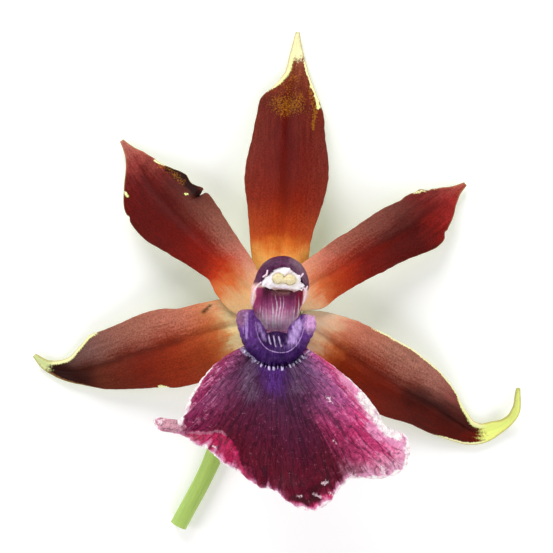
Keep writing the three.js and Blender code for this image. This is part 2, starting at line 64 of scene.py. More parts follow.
TEPAL_MIDDLE = 1.0                      # thickness of a sepal or petal along its midrib
TEPAL_MARGIN = 0.55                     # near its edge
TEPAL_ROWS = 150
TEPAL_COLUMNS = 54
LIP_MIDDLE = 1.1
LIP_MARGIN = 0.5
LIP_ROWS = 104
LIP_COLUMNS = 430
RIM_ROUND = 0.45                        # a blade's edge is rounded over this width
TEPAL_VEINS = 1.25                      # from one fine vein to the next
TEPAL_VEIN_RISE = 0.014                 # and how far it stands out
GLOW_DEPTH = 0.6                        # how far light spreads in the tissue
TEPAL_GLOW = (1.0, 0.35, 0.2)           # and the share of that for red, green and blue, in a sepal or petal
EDGES_APART = 30                        # keeps the random notches of a blade's two edges apart
SCRAP_POINTS = 1000                     # a fleshy form keeps no loose crumb that is smaller than this


# ---- numbers and curves

def unit(vectors):
    return vectors / np.maximum(np.linalg.norm(vectors, axis=-1, keepdims=True), 1e-12)


def smooth(x, low, high):
    """0 below low, 1 above high, and smooth between them. low may be the larger one."""
    t = np.clip((x - low) / (high - low), 0, 1)
    return t * t * (3 - 2 * t)


def bell(x, width):
    return np.exp(-((x / width) ** 2))


def profile(rows, u, column=1):
    """A smooth value at u from rows of (u, value, value...)."""
    rows = np.asarray(rows, float)
    x, y = rows[:, 0], rows[:, column]
    last = len(x) - 1
    before = np.maximum(np.arange(last + 1) - 1, 0)
    after = np.minimum(np.arange(last + 1) + 1, last)
    slope = (y[after] - y[before]) / (x[after] - x[before])
    k = np.clip(np.searchsorted(x, u, side="right") - 1, 0, last - 1)
    step = x[k + 1] - x[k]
    t = (u - x[k]) / step
    return (
        (2 * t**3 - 3 * t**2 + 1) * y[k]
        + (t**3 - 2 * t**2 + t) * step * slope[k]
        + (3 * t**2 - 2 * t**3) * y[k + 1]
        + (t**3 - t**2) * step * slope[k + 1]
    )


def curve_through(points, t):
    """Places on a smooth curve through the points, at t from 0 to 1, which counts the points evenly."""
    p = np.asarray(points, float)
    p = np.vstack([2 * p[0] - p[1], p, 2 * p[-1] - p[-2]])
    x = np.clip(t, 0, 1) * (len(p) - 3)
    k = np.minimum(x.astype(int), len(p) - 4)
    w = (x - k)[..., None]
    a, b, c, d = p[k], p[k + 1], p[k + 2], p[k + 3]
    return 0.5 * (2 * b + (c - a) * w + (2 * a - 5 * b + 4 * c - d) * w**2 + (3 * b - a - 3 * c + d) * w**3)


def along_curve(points, u):
    """The same curve at fractions u of its length: the places, the directions and the length."""
    t = np.linspace(0, 1, 2001)
    fine = curve_through(points, t)
    reached = np.r_[0, np.cumsum(np.linalg.norm(np.diff(fine, axis=0), axis=1))]
    at = np.interp(u * reached[-1], reached, t)
    ahead = unit(curve_through(points, at + 1e-4) - curve_through(points, at - 1e-4))
    return curve_through(points, at), ahead, reached[-1]


def ripple(points, size, seed, waves=7):
    """A smooth random height, mostly from -1 to 1, with bumps about half of size across."""
    draw = np.random.default_rng(seed)
    total = np.zeros(points.shape[:-1])
    for direction in unit(draw.normal(size=(waves, points.shape[-1]))):
        length = size * draw.uniform(0.6, 1.5)
        total += np.sin(points @ direction * 2 * np.pi / length + draw.uniform(0, 2 * np.pi))
    return total / math.sqrt(waves)


def near(points, line, radius, waver=0.0):
    """1 on a line of places, seen from the face, and less away from it. waver makes it uneven."""
    flat = points[..., :2]
    if waver:
        aside = [ripple(flat, 2.4 * radius, seed) for seed in (5, 6)]
        flat = flat + waver * radius * np.stack(aside, -1)
    nearest = np.full(flat.shape[:-1], np.inf)
    for a, b in zip(line[:-1], line[1:]):
        a, b = np.array(a, float), np.array(b, float)
        along = np.clip((flat - a) @ (b - a) / max((b - a) @ (b - a), 1e-9), 0, 1)
        nearest = np.minimum(nearest, np.linalg.norm(flat - a - along[..., None] * (b - a), axis=-1))
    return bell(nearest, radius)


def marks(points, rows, waver=0.0):
    """The strongest of several marks, each a line of places, a radius and, where it isn't 1, a strength."""
    found = [np.zeros(points.shape[:-1])]
    for line, radius, *strength in rows:
        found.append(math.prod(strength) * near(points, line, radius, waver))
    return np.max(found, axis=0)


# ---- meshes

def place(points):
    """Flower millimetres to the frame's metres, on the surface or above it and inside the part's box."""
    moved = (points + [-CENTRE_FROM_MEETING[0], -CENTRE_FROM_MEETING[1], FACE_HEIGHT]) * MM
    return np.clip(moved, np.array(CAD_BOX[0]), np.array(CAD_BOX[1]))


def piece(name, points, quads, values, material, node, triangles=()):
    """A smooth mesh that stands for a node. values holds a number or a vector for each point, by name."""
    mesh = bpy.data.meshes.new(name)
    corners = np.concatenate([np.ravel(quads), np.ravel(triangles)]).astype(np.int32)
    starts = np.arange(len(quads)) * 4
    if len(triangles):
        starts = np.r_[starts, len(quads) * 4 + np.arange(len(triangles)) * 3]
    mesh.vertices.add(len(points))
    mesh.vertices.foreach_set("co", place(points).astype(np.float32).ravel())
    mesh.loops.add(len(corners))
    mesh.loops.foreach_set("vertex_index", corners)
    mesh.polygons.add(len(starts))
    mesh.polygons.foreach_set("loop_start", starts.astype(np.int32))
    mesh.update(calc_edges=True)
    mesh.shade_smooth()
    for key, value in values.items():
        value = np.asarray(value, np.float32)
        kind, field = ("FLOAT", "value") if value.ndim == 1 else ("FLOAT_VECTOR", "vector")
        mesh.attributes.new(key, kind, "POINT").data.foreach_set(field, value.ravel())
    mesh.materials.append(material)
    made = bpy.data.objects.new(name, mesh)
    bpy.context.scene.collection.objects.link(made)
    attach(made, "root")
    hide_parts(node)
    return made


def net(index):
    """Quads over a grid of point numbers."""
    return np.stack([index[:-1, :-1], index[:-1, 1:], index[1:, 1:], index[1:, :-1]], -1).reshape(-1, 4)


def sheet(middle, half):
    """A closed blade about a grid of middle points. half is 0 round its rim, where front and back meet."""
    rows, columns = half.shape
    normal = unit(np.cross(np.gradient(middle, axis=1), np.gradient(middle, axis=0)))
    inner = np.zeros((rows, columns), bool)
    inner[1:-1, 1:-1] = True
    front = np.arange(rows * columns).reshape(rows, columns)
    back = front.copy()
    back[inner] = rows * columns + np.arange(inner.sum())
    lift = normal * half[..., None]
    points = np.vstack([(middle + lift).reshape(-1, 3), (middle - lift)[inner]])
    quads = np.vstack([net(front), net(back)[:, ::-1]])

    def spread(value):
        value = np.broadcast_to(value, half.shape) if np.ndim(value) < 3 else value
        return np.concatenate([value.reshape(rows * columns, *value.shape[2:]), value[inner]])

    side = np.r_[np.where(inner, 1.0, 0.5).ravel(), np.zeros(inner.sum())]
    return points, quads, spread, side


def rounded(*distances):
    """How much of a blade's thickness is left at these distances from its edges."""
    left = 1.0
    for distance in distances:
        left = left * np.sqrt(1 - (1 - np.clip(distance / RIM_ROUND, 0, 1)) ** 2)
    return left


# ---- fleshy forms, as fields of distance

def lattice(low, high, pitch):
    """Places on a regular grid, as an array of X, Y and Z."""
    sides = [np.arange(a, b + pitch, pitch) for a, b in zip(low, high)]
    return np.stack(np.meshgrid(*sides, indexing="ij"), -1)


def ball(p, middle, reach):
    q = p - np.array(middle)
    reach = np.array(reach, float)
    near_one = np.linalg.norm(q / reach, axis=-1)
    return near_one * (near_one - 1) / np.maximum(np.linalg.norm(q / reach**2, axis=-1), 1e-9)


def merge(a, b, soft):
    """The two forms joined, with a fillet about as wide as soft."""
    h = np.clip(0.5 + 0.5 * (b - a) / soft, 0, 1)
    return b + (a - b) * h - soft * h * (1 - h)


def carve(a, b, soft):
    """The first form without the second."""
    return -merge(-a, b, soft)


def bar(p, line, up, section, steps=70):
    """The distance to a bar along a line. section(u, side, rise) gives it in the plane square to the line."""
    u = np.linspace(0, 1, steps)
    middle, ahead, length = along_curve(line, u)
    rise = unit(np.array(up) - ahead * (ahead @ np.array(up))[:, None])
    side = np.cross(ahead, rise)
    flat = p.reshape(-1, 3)
    value = np.empty(len(flat))
    for start in range(0, len(flat), 200000):
        part = flat[start:start + 200000]
        k = np.argmin((middle**2).sum(1) - 2 * part @ middle.T, axis=1)
        offset = part - middle[k]
        ahead_by = (offset * ahead[k]).sum(1)
        fraction = np.clip(u[k] + ahead_by / length, 0, 1)
        past = np.abs(ahead_by - (fraction - u[k]) * length)
        found = section(fraction, (offset * side[k]).sum(1), (offset * rise[k]).sum(1))
        value[start:start + 200000] = np.where(past > 1e-6, np.hypot(np.maximum(found, 0), past), found)
    return value.reshape(p.shape[:-1])


def oval(wide, tall):
    """The section of a bar that is wide and tall as these profiles say."""
    def section(u, side, rise):
        w, t = profile(wide, u), profile(tall, u)
        return (np.hypot(side / w, rise / t) - 1) * np.minimum(w, t)
    return section


def wire(radius):
    return lambda u, side, rise: np.hypot(side, rise) - radius


def skin(field, low, pitch):
    """Points and quads of the closed surface round the places where the field is below zero."""
    shape = np.array(field.shape) - 1
    total = np.zeros((shape.prod(), 3))
    count = np.zeros(shape.prod())
    rings = []
    for axis in range(3):
        a = np.moveaxis(np.moveaxis(field, axis, 0)[:-1], 0, axis)
        b = np.moveaxis(np.moveaxis(field, axis, 0)[1:], 0, axis)
        edge = np.argwhere((a < 0) != (b < 0))
        start, end = a[tuple(edge.T)], b[tuple(edge.T)]
        where = edge.astype(float)
        where[:, axis] += start / (start - end)
        one, two = (axis + 1) % 3, (axis + 2) % 3
        ring = []
        for back_one, back_two in ((0, 0), (1, 0), (1, 1), (0, 1)):
            cell = edge.copy()
            cell[:, one] -= back_one
            cell[:, two] -= back_two
            number = np.ravel_multi_index(cell.T, shape)
            np.add.at(total, number, where)
            np.add.at(count, number, 1)
            ring.append(number)
        ring = np.stack(ring, 1)
        rings.append(np.where((start < 0)[:, None], ring, ring[:, ::-1]))
    used = count > 0
    number = np.cumsum(used) - 1
    points = total[used] / count[used, None] * pitch + np.array(low)
    return without_scraps(points, number[np.vstack(rings)])


def without_scraps(points, quads):
    """The same mesh without the loose crumbs of it, which have fewer points than SCRAP_POINTS."""
    label = np.arange(len(points))
    while True:
        lower = label.copy()
        np.minimum.at(lower, quads, label[quads].min(1)[:, None])
        lower = lower[lower]
        if (lower == label).all():
            break
        label = lower
    keep = np.bincount(label, minlength=len(points))[label] >= SCRAP_POINTS
    number = np.cumsum(keep) - 1
    return points[keep], number[quads[keep[quads[:, 0]]]]


def relaxed(points, quads, times, pull=0.5):
    """The same mesh with each point drawn towards its neighbours."""
    a = quads.ravel()
    b = np.roll(quads, 1, axis=1).ravel()
    count = np.bincount(a, minlength=len(points)) + np.bincount(b, minlength=len(points))
    for _ in range(times):
        total = np.zeros_like(points)
        for column in range(3):
            total[:, column] = np.bincount(a, points[b, column], len(points))
            total[:, column] += np.bincount(b, points[a, column], len(points))
        points = points + pull * (total / count[:, None] - points)
    return points


# ---- materials

def colour(red, green, blue):
    """A colour for a socket, from the percentages that a screen shows."""
    shares = (red / 100, green / 100, blue / 100)
    return tuple(c / 12.92 if c <= 0.04045 else ((c + 0.055) / 1.055) ** 2.4 for c in shares) + (1.0,)


class Paint:
    """A node material. A call adds a node and gives back its output. A name stands for the mesh's value."""

    def __init__(self, name):
        self.material = bpy.data.materials.new(name)
        self.material.use_nodes = True
        self.tree = self.material.node_tree
        self.tree.nodes.clear()
        self.read = {}

    def node(self, kind, inputs, output=0, **settings):
        made = self.tree.nodes.new(kind)
        for key, value in settings.items():
            setattr(made, key, value)
        for key, value in inputs.items():
            value = self.mesh(value) if isinstance(value, str) else value
            if isinstance(value, bpy.types.NodeSocket):
                self.tree.links.new(value, made.inputs[key])
            else:
                made.inputs[key].default_value = value
        return made.outputs[output] if made.outputs else None

    def mesh(self, name, output="Fac"):
        """A value of the mesh, or with the output Vector a vector of it."""
        if name not in self.read:
            self.read[name] = self.node("ShaderNodeAttribute", {}, output, attribute_name=name)
        return self.read[name]

    def math(self, operation, *terms):
        return self.node("ShaderNodeMath", dict(enumerate(terms)), operation=operation)

    def times(self, a, b):
        return self.math("MULTIPLY", a, b)

    def sum(self, *terms):
        """All terms added up. One that is a pair is multiplied first."""
        first, *rest = [self.times(*term) if isinstance(term, tuple) else term for term in terms]
        for term in rest:
            first = self.math("ADD", first, term)
        return first

    def step(self, value, low, high):
        """0 at low, 1 at high, smooth between."""
        return self.node("ShaderNodeMapRange", {"Value": value, "From Min": low, "From Max": high},
                         interpolation_type="SMOOTHSTEP")

    def stretched(self, vector, *by):
        return self.node("ShaderNodeVectorMath", {0: vector, 1: by}, operation="MULTIPLY")

    def noise(self, vector, scale, detail=2, rough=0.5):
        return self.node("ShaderNodeTexNoise", {"Vector": vector, "Scale": scale, "Detail": detail,
                                                "Roughness": rough}, "Fac")

    def grit(self, vector, scale, detail=2, rough=0.5):
        """The same noise, spread from 0 to 1."""
        return self.step(self.noise(vector, scale, detail, rough), 0.30, 0.70)

    def lines(self, vector, scale, width):
        """1 on thin branching lines, 0 between them."""
        off = self.math("SUBTRACT", self.noise(vector, scale, 1), 0.5)
        return self.step(self.math("ABSOLUTE", off), width / 2, 0)

    def ramp(self, value, stops):
        """Colours along a value. The stops are rows of place, red, green and blue, all in percent."""
        output = self.node("ShaderNodeValToRGB", {"Fac": value})
        elements = output.node.color_ramp.elements
        while len(elements) < len(stops):
            elements.new(1.0)
        for element, (place_percent, *tone) in zip(elements, stops):
            element.position = place_percent / 100
            element.color = colour(*tone)
        return output

    def mix(self, factor, a, b, blend="MIX"):
        a, b = (colour(*c) if isinstance(c, tuple) else c for c in (a, b))
        return self.node("ShaderNodeMix", {0: factor, 6: a, 7: b}, 2, data_type="RGBA", blend_type=blend)

    def over(self, tone, upper, low, high, *terms, share=None):
        """The tone, and over it another one where the sum of the terms is above low, in full from high on."""
        mask = self.step(self.sum(*terms), low, high)
        return self.mix(self.times(mask, share) if share else mask, tone, upper)

    def shaded(self, tone, *layers):
        """The tone, darker or lighter by each value in turn, with the factors it has at 0 and at 1."""
        for value, low, high in layers:
            factor = self.node("ShaderNodeMapRange", {"Value": value, "To Min": low, "To Max": high})
            tone = self.mix(1.0, tone, factor, "MULTIPLY")
        return tone

    def finish(self, tone, rough, height, depth, subsurface, glow, shine=0.5):
        """The surface. depth is the height of the bump in millimetres."""
        bump = self.node("ShaderNodeBump", {"Height": height, "Distance": depth * MM, "Strength": 1.0})
        surface = self.node("ShaderNodeBsdfPrincipled", {
            "Base Color": tone, "Roughness": rough, "Normal": bump, "Specular IOR Level": shine,
            "Subsurface Weight": subsurface, "Subsurface Radius": glow, "Subsurface Scale": GLOW_DEPTH * MM,
        })
        self.node("ShaderNodeOutputMaterial", {"Surface": surface})
        return self.material


# ---- sepals and petals

# spine: the midrib from base to tip. widths: fraction along, half width on the left and on the right, seen
# from the face with the base below. arch: how far the edges bend back; below zero they stand forward.
# bright: the side that is paler with painted sheen, -1 left, 1 right or 0 both. tip and end: where the pale
# tip starts, and its colour in percent. bites: fraction along, side, depth and half length of what the edge
# lacks. shade and light: the colours along the darker part and along the paler part with the painted sheen,
# as stops of a ramp. rims: pale edges, as side, from, to and width. yellow, gold and dark: marks; the dark
# line along each lateral sepal's midrib is painted shade in its groove.
TEPALS = {}
TEPALS["dorsal_sepal"] = dict(
    spine=[(0, 2.9, 0.1), (0.2, 9, 0.3), (0.9, 15.3, -0.1), (1.4, 21.3, -1.3), (1.6, 27.4, -3.2),
           (1.7, 32.8, -5.2), (2.1, 37.3, -7), (2.5, 41.9, -8.7), (3, 45.9, -9), (3.3, 49.4, -8.2)],
    widths=[(0, 2.3, 2.3), (0.04, 3.3, 3.6), (0.13, 4.8, 4.8), (0.23, 5.9, 4.9), (0.33, 6.7, 6),
            (0.43, 7.4, 7), (0.5, 7.3, 7), (0.59, 6.4, 6.5), (0.69, 5.6, 6), (0.74, 5.2, 5),
            (0.79, 3.1, 3.9), (0.845, 1.5, 2.8), (0.9, 1.1, 1.8), (0.95, 0.75, 0.9), (1, 0.35, 0.35)],
    arch=[(0, 0.2), (0.15, 0.9), (0.35, 1.6), (0.55, 1.3), (0.7, 0.3), (0.82, -0.5), (0.92, -0.35),
          (1, -0.1)], groove=0.5, bright=0, tip=0.915, end=(100, 99, 76), bites=[],
    shade=[(0, 95, 84, 52), (12, 93, 66, 34), (17, 84, 44, 15), (23, 66, 22, 6), (33, 52, 12, 3),
           (46, 42, 7, 3), (60, 38, 5, 3), (72, 36, 6, 3), (82, 44, 16, 8), (92, 54, 28, 20)],
    light=[(0, 95, 84, 54), (13, 92, 64, 32), (20, 72, 30, 12), (34, 50, 16, 10), (55, 44, 16, 12),
           (70, 42, 14, 9), (80, 46, 18, 10), (92, 56, 30, 22)],
    rims=[(-1, 0.77, 0.93, 0.75), (1, 0.74, 0.9, 0.42)],
    yellow=[([(6, 39.8), (6.9, 37.4)], 0.5, 1), ([(6.7, 37), (6.9, 35.8)], 0.35, 0.9)],
    gold=[([(0.6, 36.4), (3, 36.4)], 2.7, 0.95), ([(1.4, 39.4), (2.8, 41.2)], 2.7, 0.62),
          ([(6.4, 36), (5.8, 32)], 0.45, 1.3), ([(5.4, 39.6), (6, 36.4)], 0.6, 0.9)],
    dark=[([(0.8, 21), (1.6, 31)], 3.4, 0.26), ([(-3.4, 37), (5.6, 36)], 1.6, 0.3)],
)
TEPALS["lateral_sepal_left"] = dict(
    spine=[(-3, -0.7, 0.1), (-6.6, -1.7, 0.3), (-11.7, -2.9, 0), (-16.9, -4.5, -1.1), (-22.1, -5.9, -2.9),
           (-27.5, -7.7, -5.2), (-32, -9.2, -7.2), (-36.6, -10.2, -8.9), (-40.5, -9.5, -9),
           (-42.8, -7.2, -7.6)],
    widths=[(0, 2.3, 2.3), (0.1, 4.4, 4.7), (0.2, 6, 5.1), (0.3, 7.7, 5.4), (0.4, 7.7, 6.2), (0.5, 6.8, 6.2),
            (0.6, 5.8, 5.7), (0.7, 4.3, 5.6), (0.75, 3.3, 4.3), (0.8, 2.2, 3), (0.85, 1.3, 2.3),
            (0.92, 0.8, 1.4), (1, 0.35, 0.35)],
    arch=[(0, 0.2), (0.15, 1), (0.35, 1.8), (0.55, 1.3), (0.7, 0.2), (0.82, -0.7), (0.92, -0.5), (1, -0.1)],
    groove=0.5, bright=1, tip=0.93, end=(88, 92, 64), bites=[],
    shade=[(0, 98, 95, 82), (11, 95, 86, 62), (14, 83, 57, 34), (18, 75, 38, 19), (24, 66, 28, 13),
           (34, 56, 18, 7), (50, 45, 12, 5), (70, 37, 15, 9), (85, 20, 7, 3), (100, 24, 11, 5)],
    light=[(0, 98, 95, 84), (12, 93, 76, 56), (17, 84, 54, 37), (22, 78, 46, 33), (32, 69, 41, 33),
           (55, 57, 35, 29), (75, 44, 30, 28), (88, 24, 12, 9), (100, 38, 26, 14)],
    rims=[(1, 0.66, 1.02, 0.62)], yellow=[([(-20.4, -12.4), (-19.2, -12.6)], 0.4, 0.9)],
    gold=[([(-29.6, -11.2), (-27.8, -11.6)], 1.3, 0.35), ([(-13.4, 0.2), (-11.8, 0)], 0.9, 0.75)],
    # the dark line of radius 0.9 along the midrib is painted shade in its groove
    dark=[([(-11.6, 1.5), (-12.8, 0.4)], 0.35, 0.9), ([(-17, -4.6), (-26, -7.4), (-36, -10.4)], 0.9, 0.36),
          ([(-34, -11.8), (-38.5, -10.4)], 2.8, 0.85), ([(-22, -9.6), (-29, -12.4)], 1, 0.22)],
)
TEPALS["lateral_sepal_right"] = dict(
    spine=[(3.05, -1.15, 0.1), (6.1, -2.9, 0.3), (10.4, -5.9, 0), (15.5, -9.4, -1), (20.7, -12.4, -2.7),
           (26.1, -15.5, -5.2), (30.7, -18.5, -7.5), (34, -20.5, -8.8), (37, -20.6, -9), (39.8, -19.1, -8.2),
           (41.2, -16.6, -6.6), (41.3, -12.7, -4)],
    widths=[(0, 2.3, 2.3), (0.1, 4.7, 4.6), (0.2, 6, 5.2), (0.3, 6.7, 5.9), (0.4, 6.7, 6), (0.5, 5.9, 4.9),
            (0.55, 5.1, 4.6), (0.6, 4.1, 4.3), (0.65, 2.8, 3.7), (0.7, 1.7, 3.1), (0.75, 1.5, 2.2),
            (0.8, 1.5, 1.2), (0.85, 1, 0.8), (0.92, 0.6, 0.7), (1, 0.35, 0.35)],
    arch=[(0, 0.2), (0.15, 1), (0.35, 1.7), (0.5, 1), (0.62, 0.1), (0.75, -0.5), (0.9, -0.3), (1, -0.1)],
    groove=0.5, bright=-1, tip=0.765, end=(94, 98, 54), bites=[],
    shade=[(0, 98, 93, 82), (8.5, 93, 76, 58), (12, 81, 47, 28), (15, 69, 31, 13), (19, 53, 17, 5),
           (32, 48, 12, 4), (52, 33, 7, 3), (68, 31, 6, 2), (78, 46, 8, 3)],
    light=[(0, 98, 92, 82), (9, 93, 74, 60), (14, 81, 51, 40), (20, 73, 43, 34), (32, 63, 41, 34),
           (50, 63, 40, 35), (60, 52, 27, 24), (70, 36, 12, 9)],
    rims=[(-1, 0.22, 0.8, 0.42), (-1, 0.6, 0.8, 0.75), (1, 0.62, 0.8, 0.35)], yellow=[], gold=[],
    # the dark line of radius 0.9 along the midrib is painted shade in its groove
    dark=[([(9.5, -5.8), (21, -12.4)], 0.9, 0.22), ([(22, -13.6), (27, -15.6), (33.5, -19.4)], 2.1, 0.62),
          ([(15.5, -11.6), (21.5, -15.4)], 2, 0.34)],
)
TEPALS["petal_left"] = dict(
    spine=[(-2.5, 1.9, 1.7), (-6.1, 5.1, 1.8), (-8.8, 8.5, 1.3), (-12.6, 12.2, 0), (-15.9, 15.5, -1.9),
           (-19.7, 19.4, -4.3), (-22.8, 23.3, -6.5), (-25.5, 27.3, -8.2), (-27.6, 30.4, -8.3)],
    widths=[(0, 2.1, 2.1), (0.06, 4.4, 3.1), (0.16, 4.5, 3.7), (0.26, 4.1, 4.3), (0.36, 4.8, 5.2),
            (0.46, 5.7, 6), (0.56, 6.7, 6.5), (0.65, 7.1, 6), (0.7, 6.7, 5.7), (0.75, 6, 4.7),
            (0.8, 4.4, 3.6), (0.85, 2.9, 2.9), (0.9, 1.6, 2.1), (0.95, 0.75, 1), (1, 0.35, 0.35)],
    arch=[(0, 0.1), (0.15, 0.5), (0.35, 1.2), (0.55, 1.2), (0.7, 0.3), (0.82, -0.6), (0.92, -0.4),
          (1, -0.1)], groove=0.4, bright=1, tip=1.2, end=(94, 95, 60),
    bites=[(0.557, 1, 1.9, 0.014), (0.63, 1, 0.5, 0.05), (0.7, -1, 0.3, 0.012)],
    shade=[(0, 96, 86, 64), (9, 93, 74, 52), (15, 86, 46, 24), (22, 70, 19, 6), (32, 49, 8, 3),
           (48, 37, 4.5, 2), (65, 34, 5, 3), (78, 37, 6, 5), (88, 54, 20, 18), (100, 72, 42, 37)],
    light=[(0, 96, 86, 68), (10, 92, 71, 57), (20, 76, 46, 39), (32, 56, 34, 28), (48, 44, 23, 18),
           (62, 36, 14, 11), (78, 40, 11, 9), (90, 62, 30, 26), (100, 74, 46, 40)], rims=[],
    yellow=[([(-21.4, 26.7), (-19.9, 26.1)], 0.3, 1), ([(-26.7, 21), (-26.4, 20.5)], 0.35, 0.9),
            ([(-16.2, 20.6), (-15.7, 20.5)], 0.22, 0.7)],
    gold=[([(-21, 26.2), (-18.4, 24.6), (-16.6, 22.6)], 0.8, 0.8)],
    dark=[([(-18.8, 25.5), (-15.8, 23.1), (-14.2, 20.6)], 1, 1.5), ([(-17, 18), (-23, 23)], 3, 0.26),
          ([(-17, 21.6), (-19, 22.6)], 1.4, 0.4)],
)
TEPALS["petal_right"] = dict(
    spine=[(2.4, 2.2, 1.7), (5.6, 5.1, 1.8), (9.5, 7.3, 1.3), (13.8, 10, 0), (18.2, 12.6, -2.1),
           (22.7, 15.3, -4.5), (27.2, 18.5, -7), (30.3, 20.8, -8.2), (32.7, 22.8, -8.3)],
    widths=[(0, 2.1, 2.1), (0.08, 3.6, 4.2), (0.2, 4.4, 3.9), (0.3, 4.7, 4), (0.4, 4.7, 4.2),
            (0.5, 4.9, 4.5), (0.6, 5, 4.9), (0.7, 4.7, 5.6), (0.75, 4.6, 5.3), (0.8, 4.2, 4.2),
            (0.85, 3, 3.3), (0.9, 2.1, 2), (0.95, 1.1, 0.85), (1, 0.35, 0.35)],
    arch=[(0, 0.1), (0.15, 0.5), (0.35, 1.1), (0.55, 1.1), (0.7, 0.3), (0.82, -0.6), (0.92, -0.4),
          (1, -0.1)], groove=0.4, bright=-1, tip=1.2, end=(94, 95, 60),
    bites=[(0.83, -1, 0.35, 0.02), (0.775, -1, 0.25, 0.02), (0.775, 1, 0.4, 0.014)],
    shade=[(0, 96, 86, 68), (8, 92, 70, 52), (13, 83, 43, 24), (19, 70, 26, 11), (25, 65, 18, 7),
           (35, 46, 8, 3), (52, 36, 5, 2), (66, 32, 5, 3), (78, 46, 8, 6), (90, 58, 15, 14),
           (100, 66, 30, 25)],
    light=[(0, 96, 84, 68), (10, 89, 61, 48), (20, 76, 45, 37), (27, 64, 36, 29), (35, 57, 31, 25),
           (50, 48, 26, 22), (64, 42, 21, 18), (78, 42, 13, 12), (90, 58, 22, 20), (100, 68, 34, 29)],
    rims=[],
    yellow=[([(23.4, 21.1), (25.4, 21.6)], 0.35, 0.55), ([(26.6, 21.9), (28.2, 22.2)], 0.3, 0.5),
            ([(29.4, 14), (29, 13.2)], 0.25, 0.8)], gold=[], dark=[([(19, 13.8), (27, 18.6)], 2.6, 0.3)],
)


def tepal_paint(name, form):
    p = Paint(name)
    flow = p.mesh("flow", "Vector")
    drift = p.noise(flow, 0.16, 3)
    streak = p.grit(p.stretched(flow, 0.22, 2, 1), 1, 3)
    hair = p.grit(p.stretched(flow, 0.35, 5, 1), 1)
    speckle = p.grit(flow, 3, 2, 0.6)
    grain = p.grit(flow, 5.5, 2, 0.7)
    cloud = p.grit(flow, 0.7, 3)

    at = p.sum("along", (drift, 0.10), (cloud, 0.025), (streak, 0.018), (speckle, 0.012), -0.078)
    # The paler ramp, laid over the darker one towards the lit side, is painted sheen.
    face = p.over(p.ramp(at, form["shade"]), p.ramp(at, form["light"]), -0.1, 0.75,
                  "lit", (drift, 0.5), (streak, 0.12), (hair, 0.08), (speckle, 0.12), -0.41)
    # fold: painted shade in the groove along the midrib, from a little past the base; it darkens with the
    # dark marks.
    fold = p.times(p.sum(("groove", 0.15), (hair, 0.10), -0.05), p.step("along", 0.14, 0.34))
    face = p.over(face, (14, 2, 1), 0, 1.15, "dark", fold, (speckle, 0.20), -0.10)
    face = p.over(face, (58, 36, 5), 0.24, 0.80, "gold", (grain, 0.80), (speckle, 0.45), -1.00, share=0.78)
    rough = p.shaded(face, (speckle, 0.8, 1.2), (grain, 0.82, 1.2), (streak, 0.9, 1.1), (hair, 0.91, 1.1))
    face = p.mix(p.sum(0.25, (p.step("along", 0.06, 0.34), 0.75)), face, rough)
    face = p.shaded(face, (cloud, 0.94, 1.06))
    pale = p.mix(p.step(p.sum("rim", (drift, 0.6)), 0.3, 1.2), (99, 98, 76), (92, 95, 60))
    face = p.over(face, pale, 0.28, 0.62, "yellow", (speckle, 0.22), (grain, 0.15), -0.18)
    face = p.over(face, p.shaded(form["end"], (drift, 0.92, 1.08)), form["tip"] - 0.02, form["tip"] + 0.02,
                  "along", (speckle, 0.018), (streak, 0.02), ("groove", -0.02), -0.01)
    face = p.over(face, (72, 52, 36), 0.20, 0.02, "rim", (speckle, 0.1), -0.05, share=0.45)

    stain = p.step(p.sum(p.noise(flow, 0.32, 4, 0.6), ("along", -0.2), (streak, 0.12), -0.06), 0.44, 0.62)
    under = p.shaded(p.mix(stain, (72, 76, 40), (58, 34, 17)), (streak, 0.86, 1.12), (grain, 0.92, 1.08))
    tone = p.mix("front", under, face)
    height = p.sum((speckle, 0.5), (streak, 0.4), (grain, 0.3))
    return p.finish(tone, p.sum(0.38, (speckle, 0.12)), height, 0.045, 0.08, TEPAL_GLOW, 0.07)


